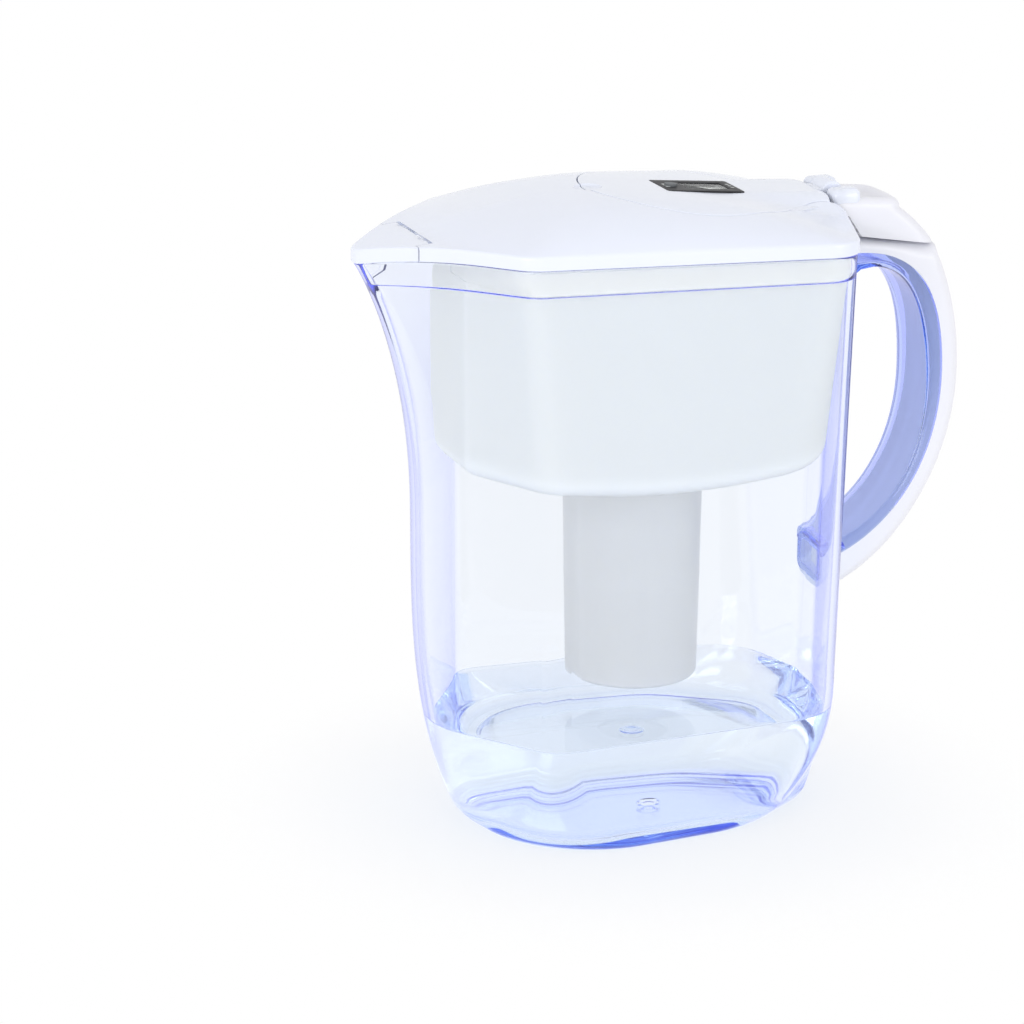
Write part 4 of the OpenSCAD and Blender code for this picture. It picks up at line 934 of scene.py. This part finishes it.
def ray(centre, points, dx, dy):
    """How far a ray from a centre goes to a closed line, in lengths of its direction."""
    best = 0.0
    for j, p in enumerate(points):
        q = points[(j + 1) % len(points)]
        ex, ey, px, py = q[0] - p[0], q[1] - p[1], p[0] - centre[0], p[1] - centre[1]
        w = dx * ey - dy * ex
        if abs(w) < 1e-12:
            continue
        t, s = (px * ey - py * ex) / w, (px * dy - py * dx) / w
        if -1e-9 <= s <= 1 + 1e-9 and t > best:
            best = t
    return best


def crown_at(x, y):
    dx = x - CROWN_X
    u = min(1.0, 1 / ray((CROWN_X, 0), LID_LINE, dx, y)) if math.hypot(dx, y) > 1e-6 else 0.0
    dome = max(0.0, station(x) * (1 - u**3.4))
    ridge = RIDGE_H * ease((x - RIDGE_X) / RIDGE_L) * ease((RIDGE_W - abs(y)) / RIDGE_SIDE) * (1 - u**20)
    return rim_z(x) + BAND_H + (dome**4 + ridge**4 + 0.01) ** 0.25


def edge_drop(s, r):
    return r - math.sqrt(max(0.0, r * r - (r - s) ** 2)) if s < r else 0.0


def door_line(inset=0.0):
    """The door's outline: round, with a neck that runs back to the hinge through two fillets."""
    fy = DOOR_NECK + DOOR_FILLET
    fx = DOOR_X + math.sqrt((DOOR_R + DOOR_FILLET) ** 2 - fy * fy)
    a = math.degrees(math.atan2(fy, fx - DOOR_X))
    bows = ((DOOR_X, 0.0, DOOR_R - inset, 180, a, range(41)), (fx, fy, DOOR_FILLET + inset, 180 + a, 270, range(1, 13)))
    half = []
    for x, y, r, start, end, steps in bows:
        for k in steps:
            w = math.radians(mix(start, end, k / steps[-1]))
            half.append((x + r * math.cos(w), y + r * math.sin(w)))
    half.append((DOOR_REAR - max(-DOOR_GAP, min(DOOR_GAP, inset)), DOOR_NECK - inset))
    return half + [(x, -y) for x, y in reversed(half[1:])]


def directions():
    """Directions from the door's middle in which both the door's line and the lid's line have their points."""
    points = door_line() + LID_LINE
    angles = sorted({round(math.atan2(y, x - DOOR_X), 5) for x, y in points}, reverse=True)
    kept = [angles[0]]
    for a in angles[1:]:
        if kept[-1] - a > 0.004:
            kept.append(a)
    return [(math.cos(a), math.sin(a)) for a in kept]


def cast(line, ways):
    """Where rays from the door's middle meet a closed line."""
    reach = [ray((DOOR_X, 0), line, dx, dy) for dx, dy in ways]
    return [(DOOR_X + dx * t, dy * t) for (dx, dy), t in zip(ways, reach)]


def lid_solid(name):
    """Crown, band, rail and skirt as one closed shell round the door's opening."""
    ways = directions()
    band, seam = sizes().band_round / MM, sizes().seam_round / MM
    edge, hole = cast(LID_LINE, ways), cast(door_line(), ways)
    rail = cast(outline([(x, y, max(1.05, r - RAIL_IN)) for x, y, r in jug_circles(RIM_H)]), ways)
    mouth, foot = inside_jug(RIM_H, MOUTH_WALL + HOPPER_GAP), RIM_H - SKIRT_H
    skirt_out, skirt_in = (cast(outline(mouth, inset), ways) for inset in (SKIRT_OUT, SKIRT_IN))

    def crown_ring(way_in, drop=0.0):
        """A ring of the crown: way_in gives how far in from the band's edge it lies on a span to the door."""
        ring = []
        for p, q in zip(edge, hole):
            span = math.dist(p, q)
            x, y = mix(p, q, way_in(span) / span)
            ring.append((x, y, crown_at(x, y) - drop))
        return ring

    rings = [crown_ring(lambda span: span - side, seam - up) for side, up in quarter(seam, 5)[:-1]]
    for share in (1, 0.97, 0.92, 0.85, 0.75, 0.65, 0.55, 0.45, 0.36, 0.28, 0.21, 0.15, 0.1, 0.06, 0.03, 0):
        rings.append(crown_ring(lambda span: mix(band, span - seam, share)))
    rings += [crown_ring(lambda span: side, band - up) for side, up in reversed(quarter(band, 6)[:-1])]
    rings.append([(x, y, rim_z(x) + LID_GAP + 0.3) for x, y in edge])
    rings.append([(*mix(p, q, 0.08), rim_z(p[0]) + LID_GAP) for p, q in zip(edge, rail)])
    rings.append([(x, y, rim_z(x) + LID_GAP) for x, y in rail])
    for share in (1, 0.5, 0):
        ring = []
        for x, y in (mix(p, q, share) for p, q in zip(skirt_out, rail)):
            ring.append((x, y, mix(rim_z(x) + 2 * LID_GAP, crown_at(x, y) - LID_T, ease((-60 - x) / 15))))
        rings.append(ring)
    for inset, dz in ((SKIRT_OUT, 0.4), (SKIRT_IN, 0)):
        line = cast([p[:2] for p in mouth_ring(inset, foot)], ways)
        rings.append([(x, y, foot + dz + lift(x, foot)) for x, y in line])
    for share in (0, 0.1, 0.25, 0.45, 0.7, 0.9, 1):
        line = [mix(p, q, share) for p, q in zip(skirt_in, hole)]
        rings.append([(x, y, crown_at(x, y) - LID_T) for x, y in line])
    return skin(name, rings, material(white_plastic), closed=True, sharp=40)


def flap_plan(inset):
    w, x = FLAP_W - inset, FLAP_SIDE_X - inset
    return [(FLAP_X, w), (x, w), (x, 45), (-130, 45), (-130, -45), (x, -45), (x, -w), (FLAP_X, -w)]


def across(x, z, y=0.0):
    """Matrix that lays a turned piece along Y at x and z."""
    return Matrix.Translation((x, y, z)) @ Matrix.Rotation(math.pi / 2, 4, "X")


def scoop():
    """Cutter of the shallow finger scoop at the front of the door."""
    front = DOOR_X - DOOR_R
    place = Matrix.Translation((front + 1.5, 0, crown_at(front, 0) + 8.0))
    return turned("scoop_way", pill(6.5, 9, 2.5), place=place)


def build_lid():
    lid = lid_solid("lid_crown")
    barrel_way = Matrix.Translation((85.2, 0, 249.5))
    for cutter in (
        prism("flap_way", flap_plan(0), RIM_H - 30, RIM_H + 30),
        turned("knuckle_way", pill(2.6, FLAP_W, 0.2), place=across(FLAP_X, FLAP_Z), steps=32),
        brick("barrel_way", 14, 2 * DOOR_NECK, -0.5, 20, 0.4, None, barrel_way),
        scoop()
    ):
        carve(lid, cutter)
    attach(lid, "lid")
    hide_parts("lid_shell")
    build_tail()
    build_lugs()


def tail_top(x):
    """Height of the top of the lid's tail at x, rounded over in front of the hinge."""
    fall = clamp01((x - TAIL_FALL_X) / (OUTSIDE_TOP - TAIL_FALL_X))
    return mix(TAIL_HIGH, TAIL_LOW, fall) - edge_drop(max(0.0, x - TAIL_FRONT), TAIL_FRONT_R)


def tail_foot(x):
    return tail_seam(x) if x > TAIL_WALL_X else TAIL_UNDER


def tail_plan(reach, inset):
    """Plan of the tail: rounded at the back as the cover is, with the cover's crown."""
    half, r = TAIL_W - inset, sizes().cover_round / MM - min(inset, 4)
    back, front = reach - inset, TAIL_FRONT + inset
    line = [(front, -half + 2), (front + 0.6, -half + 0.6), (front + 2, -half)]
    line += [(mix(front + 2, TAIL_WALL_X - 0.1, k / 3), -half) for k in (1, 2, 3)] + [(TAIL_WALL_X + 0.1, -half)]
    line += [(mix(TAIL_WALL_X + 0.1, back - r, k / 6), -half) for k in range(1, 6)]
    line += [(back - r + r * math.sin(a), -half + r - r * math.cos(a)) for a in arc(7)]
    line += [(back, (-half + r) * (1 - k / 5)) for k in range(1, 5)]
    crown = sizes().cover_crown / MM
    line = [(x - (crown * (y / TAIL_W) ** 2 if x > back - r - 0.01 else 0.0), y) for x, y in line]
    return line + [(back, 0)] + [(x, -y) for x, y in reversed(line)] + [(front, 0)]


def build_tail():
    """The tail over the handle, with its thumb dish."""
    path = [p for p in outside_path() if p[1] > tail_seam(p[0]) + 0.05]
    reaches = [p[0] for p in resample(path, 16)][::-1]
    reaches = [min(TAIL_REACH, max(reaches) + 0.3)] + reaches
    round_r, dish = sizes().tail_round / MM, sizes().dish_depth / MM
    rings = []

    def height(x):
        for p, q in zip(path, path[1:]):
            if p[0] <= x <= q[0]:
                return mix(p[1], q[1], (x - p[0]) / (q[0] - p[0]))
        return tail_seam(x)

    for reach in reaches:
        share = clamp01((height(reach) - tail_seam(reach)) / (TAIL_Z - tail_seam(reach)))
        share = 0.0 if reach == reaches[0] else share
        rings.append([(x, y, mix(tail_foot(x), tail_top(x) - round_r, share)) for x, y in tail_plan(reach, 0)])
    for side, up in quarter(round_r, 6)[1:]:
        rings.append([(x, y, tail_top(x) - round_r + up) for x, y in tail_plan(reaches[-1], side)])
    for inset in (4.2, 5, 6, 7.5, 9.5, 12, 14.5):
        sink = dish * ease((inset - round_r - 0.2) / 5.5)
        plan = [(max(x, 92 + (inset - round_r) * 0.4), y) for x, y in tail_plan(reaches[-1], inset)]
        rings.append([(x, y, tail_top(x) - sink) for x, y in plan])
    tail = skin("lid_tail", rings, material(cover_plastic), sharp=50)
    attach(tail, "lid")
    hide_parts("lid_shell")


def build_lugs():
    """The two lugs that carry the door's pin, and the two of the flap."""
    parts, white = [], material(white_plastic)

    def block(name, place, long, wide, low, high, edge):
        parts.append(brick(name, long, wide, low, high, edge, white, Matrix.Translation(place)))

    for side in (-1, 1):
        mid = side * (BARREL_L / 2 + LUG_GAP + LUG_L / 2)
        place = across(*DOOR_HINGE, mid)
        parts.append(turned("lug", pill(BARREL_R - 2, LUG_L / 2 - 0.3, 2.2), white, 48, place))
        block("web", (WEB_X, mid, 0), 13, LUG_L, WEB_LOW, WEB_TOP, WEB_ROUND)
        parts.append(turned("knuckle", pill(KNUCKLE_R, 3, 0.3), white, 24, across(FLAP_X, FLAP_Z, side * FLAP_LUG_Y)))
        block("bridge", (FLAP_X + 3.2, side * FLAP_LUG_Y, FLAP_Z), 6, 6, -1.6, 1.5, 0.3)
    block("bridge", (BRIDGE_X, 0, 0), 6, 30, WEB_LOW, BRIDGE_TOP, 0.6)
    lugs = join("lid_lugs", parts)
    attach(lugs, "lid")
    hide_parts("lid_shell")


def build_flap():
    flap = lid_solid("flap_plate")
    carve(flap, prism("flap_block", flap_plan(FLAP_GAP), RIM_H - 30, RIM_H + 30), "INTERSECT")
    for side in (-1, 1):
        carve(flap, turned("lug_way", pill(2.15, 3.35, 0.1), None, 24, across(FLAP_X, FLAP_Z, side * FLAP_LUG_Y)))
    knuckle = turned("flap_knuckle", pill(KNUCKLE_R, 9.1, 0.25), material(white_plastic), 32, across(FLAP_X, FLAP_Z))
    for obj in (flap, knuckle):
        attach(obj, "flap")
        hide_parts("spout_flap")


# ---------------------------------------------------------------- door and indicator


def at_display(x=0.0, y=0.0, z=0.0):
    tilt = Matrix.Rotation(math.radians(DISPLAY_TILT), 4, "Y")
    return Matrix.Translation((DISPLAY_X, 0, DISPLAY_Z)) @ tilt @ Matrix.Translation((x, y, z))


def build_door():
    seam = sizes().seam_round / MM
    edge = cast(door_line(DOOR_GAP), directions())
    white = material(white_plastic)

    def ring(share, inset, dz):
        out = []
        for p in edge:
            r = math.dist(p, (DOOR_X, 0))
            x, y = mix((DOOR_X, 0), p, share * (r - inset) / r)
            out.append((x, y, crown_at(x, y) + dz))
        return out

    shares = (0.02, 0.12, 0.25, 0.4, 0.52, 0.64, 0.75, 0.84, 0.91, 0.96)
    rings = [ring(t, 0, 0.5 - LID_T) for t in shares + (1,)]
    rings += [ring(1, side, up - seam) for side, up in quarter(seam, 5)[:-1]]
    rings += [ring(1, seam, 0)] + [ring(t, 0, 0) for t in reversed(shares)]
    plate = skin("door_plate", rings, white, sharp=40)
    carve(plate, brick("display_way", DISPLAY_L, DISPLAY_W, -1.4, 6, 0.05, None, at_display(), 1.4))
    carve(plate, scoop())
    hx, hy = DISPLAY_L / 2 + 4, DISPLAY_W / 2 + 3
    loops = []
    for inset, z in ((0, HOUSE_LOW), (0, HOUSE_TOP), (HOUSE_WALL, HOUSE_TOP), (HOUSE_WALL, HOUSE_LOW)):
        loops.append(placed([(x, y, z) for x, y in rounded(hx - inset, hy - inset, 0.8)], at_display()))
    shell = [skin("housing", loops, white, closed=True)]
    boss = [(0, HOUSE_LOW), (2.2, HOUSE_LOW), (2.6, HOUSE_LOW + 0.4), (2.6, HOUSE_TOP), (0, HOUSE_TOP)]
    for sx in (-1, 1):
        for sy in (-1, 1):
            shell.append(turned("boss", boss, white, 32, at_display(sx * (hx + 3.5), sy * (hy - 4), 0)))
    shell.append(turned("barrel", pill(BARREL_R, BARREL_L / 2 - 0.2, 0.9), white, 48, across(*DOOR_HINGE)))
    neck = Matrix.Translation((DOOR_REAR - 0.6, 0, DOOR_HINGE[1]))
    shell.append(brick("neck", 9, BARREL_L - 1.2, -2.4, 2.2, 0.8, white, neck))
    for obj in (plate, join("door_underside", shell)):
        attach(obj, "door")
        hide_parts("fill_door")


def build_indicator():
    """Bezel, window and display on top of the door."""
    hx, hy, ix, iy, foot = DISPLAY_L / 2 - 0.05, DISPLAY_W / 2 - 0.05, 9.0, 5.5, -1.35
    outer = ((0, 1.4, foot), (0, 1.4, 0.2), (-0.12, 1.3, 0.42), (-0.4, 1.1, 0.5))
    inner = ((0.35, 0.6, 0.5), (0.1, 0.5, 0.35), (0, 0.5, 0.0), (0, 0.5, foot))
    loops = []
    for (lx, ly, place), levels in (((hx, hy, at_display()), outer), ((ix, iy, at_display(LCD_X)), inner)):
        for more, r, z in levels:
            loops.append(placed([(x, y, z) for x, y in rounded(lx + more, ly + more, r)], place))
    bezel = skin("bezel_frame", loops, material(bezel_black), closed=True, sharp=50)
    carve(bezel, turned("button_way", pill(2.7, 4, 0.05), None, 48, at_display(-11.5, 0, 0)))
    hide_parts("display_bezel")
    window = brick("display_glass", 18, 11, -0.35, 0.3, 0.12, material(window_plastic), at_display(LCD_X))
    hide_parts("display_window")
    panel = brick("display_panel", 21, 14, -2.75, -1.45, 0.1, material(display_face), at_display(LCD_X))
    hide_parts("lcd_panel")
    for obj in (bezel, window, panel):
        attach(obj, "door")


# ---------------------------------------------------------------- cartridge


def rib_tree():
    """Copies a rib round the Z axis: inputs are the rib, their number and the finish."""
    tree = bpy.data.node_groups.new("ribs_round_axis", "GeometryNodeTree")
    face = tree.interface
    face.new_socket("Geometry", in_out="INPUT", socket_type="NodeSocketGeometry")
    count = face.new_socket("Ribs", in_out="INPUT", socket_type="NodeSocketInt")
    finish = face.new_socket("Finish", in_out="INPUT", socket_type="NodeSocketMaterial")
    face.new_socket("Geometry", in_out="OUTPUT", socket_type="NodeSocketGeometry")
    g = Graph(tree)
    given = g.node("NodeGroupInput").outputs
    share = Value(g, g.node("GeometryNodeInputIndex").outputs[0]) / Value(g, given["Ribs"])
    about = g.node("ShaderNodeCombineXYZ", None, Z=share * (2 * math.pi))
    points = g.node("GeometryNodePoints", None, Count=given["Ribs"])
    copies = g.node(
        "GeometryNodeInstanceOnPoints", None, Points=points.outputs[0], Instance=given["Geometry"],
        Rotation=about.outputs[0]
    )
    real = g.node("GeometryNodeRealizeInstances", None, Geometry=copies.outputs[0])
    paint = g.node("GeometryNodeSetMaterial", None, Geometry=real.outputs[0], Material=given["Finish"])
    g.node("NodeGroupOutput", None, Geometry=paint.outputs[0])
    return tree, count.identifier, finish.identifier


def ribs_round(rib, count, finish):
    """Runs the rib tree on one rib and keeps the result as a plain mesh."""
    tree, count_id, finish_id = rib_tree()
    mod = rib.modifiers.new("ribs", "NODES")
    mod.node_group = tree
    mod[count_id] = count
    mod[finish_id] = finish
    rib.update_tag()
    settle(rib, SHARP)


def build_cartridge():
    """Ribs between the slots of the cap, made round its axis."""
    white, count = material(cartridge_plastic), sizes().cap_ribs
    turned_rib = Matrix.Rotation(math.radians(180 / count), 4, "Z")
    lean = Matrix.Translation((17.2, 0, 158.3)) @ Matrix.Rotation(math.radians(33), 4, "Y")
    ribs = brick("cap_rib_set", 9, 1.1, -1.2, 0.9, 0.3, white, turned_rib @ lean)
    ribs_round(ribs, count, white)
    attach(ribs, "cartridge")


# ---------------------------------------------------------------- plain frame nodes


def dress_nodes():
    """Finishes of the nodes that keep the frame's shape."""
    steel = material(metal, "steel", (0.62, 0.62, 0.64), 0.22)
    seal = material(rubber, "soft_seal", (0.72, 0.72, 0.74))
    plan = {
        "door_seat": material(white_plastic),
        "sleeve_gasket": seal,
        "tray_gasket": material(rubber, "dark_seal", (0.07, 0.07, 0.08)),
        "button_membrane": seal,
        "cartridge_shell": material(cartridge_plastic),
        "cartridge_cap": material(cartridge_plastic),
        "cartridge_media": material(granules),
        "media_top_screen": material(felt),
        "media_bottom_screen": material(felt),
        "vent_screen": material(mesh_cloth),
        "door_hinge_pin": steel,
        "flap_hinge_pin": steel,
        "tray_screws": steel,
        "battery_clip": material(metal, "clip_brass", (0.72, 0.58, 0.32), 0.28),
        "coin_cell": material(metal, "cell_steel", (0.7, 0.7, 0.72), 0.16),
        "indicator_tray": material(cover_plastic),
        "lcd_connector": material(rubber, "connector_strip", (0.16, 0.16, 0.2)),
        "circuit_board": material(board_green),
        "reset_button": material(rubber, "button_rubber", (0.16, 0.17, 0.18)),
    }
    for node, finish in plan.items():
        for slot in NODES[node].material_slots:
            slot.material = finish


# ---------------------------------------------------------------- water and stage


def build_water():
    """The water stands just inside the wall, with a meniscus."""
    level, inset, low = sizes().water_level / MM, JUG_WALL - 0.25, FLOOR_T - 0.25
    foot = level_ring(low, inset + BASE_EDGE)
    rings = [[(x * (1 - share), y * (1 - share), z) for x, y, z in foot] for share in (0.95, 0.6, 0.3)]
    rings += [level_ring(low + side, inset + BASE_EDGE - up) for side, up in quarter(BASE_EDGE, 8)]
    rings += [level_ring(mix(BASE_EDGE + low, level + 0.8, k / 8), inset) for k in range(1, 9)]
    rings += [level_ring(level, inset + inner, dz) for inner, dz in ((0.5, 0.6), (1.2, 0.25), (2.2, 0.05), (3.5, 0))]
    rings += [[(x * (1 - share), y * (1 - share), z) for x, y, z in rings[-1]] for share in (0.4, 0.7, 0.95)]
    skin("water_fill", rings, material(water))


LAMP_AIM = Vector((0, 0, 0.14))
FLOOR_R, FLOOR_SIDES = 4000, 64


def backdrop_white(name, near, least):
    """Plain white for the camera and for glass; near the pitcher it is matt paper that takes its shadow."""
    mat = bpy.data.materials.new(name)
    mat.use_nodes = True
    mat.node_tree.nodes.clear()
    g = Graph(mat.node_tree)
    place = g.node("ShaderNodeTexCoord").outputs["Object"]
    far = g.node("ShaderNodeVectorMath", {"operation": "LENGTH"}, **{"0": place})
    paper = g.node("ShaderNodeBsdfDiffuse", None, Color=(0.92, 0.92, 0.93, 1))
    white = g.node("ShaderNodeEmission", None, Strength=1.0)
    share = Value(g, far.outputs["Value"]).soft(*near, least)
    blend = g.node("ShaderNodeMixShader", None, **{"0": share, "1": paper.outputs[0], "2": white.outputs[0]})
    g.node("ShaderNodeOutputMaterial", None, Surface=blend.outputs[0])
    return mat


def lamp(name, place, size, power, tone):
    data = bpy.data.lights.new(name, "AREA")
    data.shape, data.size, data.energy, data.color = "DISK", size, power, tone
    obj = linked(name, data)
    obj.location = place
    obj.rotation_euler = (LAMP_AIM - Vector(place)).to_track_quat("-Z", "Y").to_euler()


def build_stage():
    ring = [(FLOOR_R * math.cos(a), FLOOR_R * math.sin(a), 0) for a in turn(FLOOR_SIDES)]
    paper = backdrop_white("paper_white", (0.085, 0.19), 0.5)
    floor = piece("paper_floor", ring, [tuple(reversed(range(FLOOR_SIDES)))], paper, sharp=None)
    if floor.data.polygons[0].normal.z < 0:
        floor.data.flip_normals()
    world = bpy.data.worlds.new("white_room")
    bpy.context.scene.world = world
    world.use_nodes = True
    g = Graph(world.node_tree)
    sky, path = g.tree.nodes["Background"].inputs, g.node("ShaderNodeLightPath").outputs
    seen = Value(g, path["Is Camera Ray"]).math("MAXIMUM", path["Is Glossy Ray"])
    g.join(0.9 + 0.1 * seen.math("MAXIMUM", path["Is Transmission Ray"]), sky["Strength"])
    sky["Color"].default_value = (1, 1, 1, 1)
    lamp("key_softbox", (-1.7, -1.5, 0.85), 1.4, 17.0, (0.97, 0.98, 1.0))
    lamp("fill_softbox", (1.5, -1.9, 0.7), 1.4, 11.0, (0.95, 0.97, 1.0))
    camera = bpy.data.cameras.new("camera")
    camera.lens, camera.sensor_width = 159.9, 36.0
    camera.clip_end = 30
    view = linked("camera", camera)
    view.location = (-0.67195, -1.66314, 0.6601)
    view.rotation_euler = (math.radians(73.391), 0, math.radians(-20.42))
    bpy.context.scene.camera = view
    bpy.context.scene.view_settings.view_transform = "Standard"
    paths = bpy.context.scene.cycles  # light crosses the clear walls and the water many times
    paths.max_bounces, paths.transmission_bounces, paths.glossy_bounces = 28, 28, 12


# ---------------------------------------------------------------- operators and panel


class PITCHER_OT_jug(bpy.types.Operator):
    """Build the clear jug with its ledge, rim and floor"""

    bl_idname = "pitcher.jug"
    bl_label = "Jug"

    def execute(self, context):
        build_jug()
        return {"FINISHED"}


class PITCHER_OT_handle(bpy.types.Operator):
    """Build the clear channel of the handle and its white cover"""

    bl_idname = "pitcher.handle"
    bl_label = "Handle"

    def execute(self, context):
        build_handle()
        return {"FINISHED"}


class PITCHER_OT_hopper(bpy.types.Operator):
    """Build the frosted hopper with its sleeve"""

    bl_idname = "pitcher.hopper"
    bl_label = "Hopper"

    def execute(self, context):
        build_hopper()
        return {"FINISHED"}


class PITCHER_OT_lid(bpy.types.Operator):
    """Build the crown, band, tail and lugs of the lid"""

    bl_idname = "pitcher.lid"
    bl_label = "Lid"

    def execute(self, context):
        build_lid()
        return {"FINISHED"}


class PITCHER_OT_flap(bpy.types.Operator):
    """Build the flap over the spout"""

    bl_idname = "pitcher.flap"
    bl_label = "Spout flap"

    def execute(self, context):
        build_flap()
        return {"FINISHED"}


class PITCHER_OT_door(bpy.types.Operator):
    """Build the filling door with its housing and barrel"""

    bl_idname = "pitcher.door"
    bl_label = "Filling door"

    def execute(self, context):
        build_door()
        return {"FINISHED"}


class PITCHER_OT_indicator(bpy.types.Operator):
    """Build the bezel, window and display of the indicator"""

    bl_idname = "pitcher.indicator"
    bl_label = "Indicator"

    def execute(self, context):
        build_indicator()
        return {"FINISHED"}


class PITCHER_OT_cartridge(bpy.types.Operator):
    """Build the ribs of the cartridge's cap"""

    bl_idname = "pitcher.cartridge"
    bl_label = "Cartridge"

    def execute(self, context):
        build_cartridge()
        return {"FINISHED"}


class PITCHER_OT_nodes(bpy.types.Operator):
    """Give the pieces that keep the frame's shape their finishes"""

    bl_idname = "pitcher.nodes"
    bl_label = "Small pieces"

    def execute(self, context):
        dress_nodes()
        return {"FINISHED"}


class PITCHER_OT_stage(bpy.types.Operator):
    """Build the water, floor, lamps and camera"""

    bl_idname = "pitcher.stage"
    bl_label = "Stage"

    def execute(self, context):
        build_water()
        build_stage()
        return {"FINISHED"}


OPERATORS = (
    PITCHER_OT_jug, PITCHER_OT_handle, PITCHER_OT_hopper, PITCHER_OT_lid, PITCHER_OT_flap, PITCHER_OT_door,
    PITCHER_OT_indicator, PITCHER_OT_cartridge, PITCHER_OT_nodes, PITCHER_OT_stage
)


class PITCHER_PT_panel(bpy.types.Panel):
    """Lists the sizes, the colours and the pieces in the order in which they are built"""

    bl_label = "Pitcher"
    bl_space_type = "VIEW_3D"
    bl_region_type = "UI"
    bl_category = "Pitcher"

    def draw(self, context):
        for group in (context.scene.pitcher_sizes, context.scene.pitcher_colours):
            box = self.layout.box()
            for key in group.__annotations__:
                box.prop(group, key)
        for operator in OPERATORS:
            self.layout.operator(operator.bl_idname)


CLASSES = (PitcherSizes, PitcherColours, *OPERATORS, PITCHER_PT_panel)


def register():
    for item in CLASSES:
        bpy.utils.register_class(item)
    bpy.types.Scene.pitcher_sizes = bpy.props.PointerProperty(type=PitcherSizes)
    bpy.types.Scene.pitcher_colours = bpy.props.PointerProperty(type=PitcherColours)


def unregister():
    del bpy.types.Scene.pitcher_colours
    del bpy.types.Scene.pitcher_sizes
    for item in reversed(CLASSES):
        bpy.utils.unregister_class(item)


def main():
    register()
    bpy.ops.pitcher.jug()
    bpy.ops.pitcher.handle()
    bpy.ops.pitcher.hopper()
    bpy.ops.pitcher.lid()
    bpy.ops.pitcher.flap()
    bpy.ops.pitcher.door()
    bpy.ops.pitcher.indicator()
    bpy.ops.pitcher.cartridge()
    bpy.ops.pitcher.nodes()
    bpy.ops.pitcher.stage()


if __name__ == "__main__":
    main()
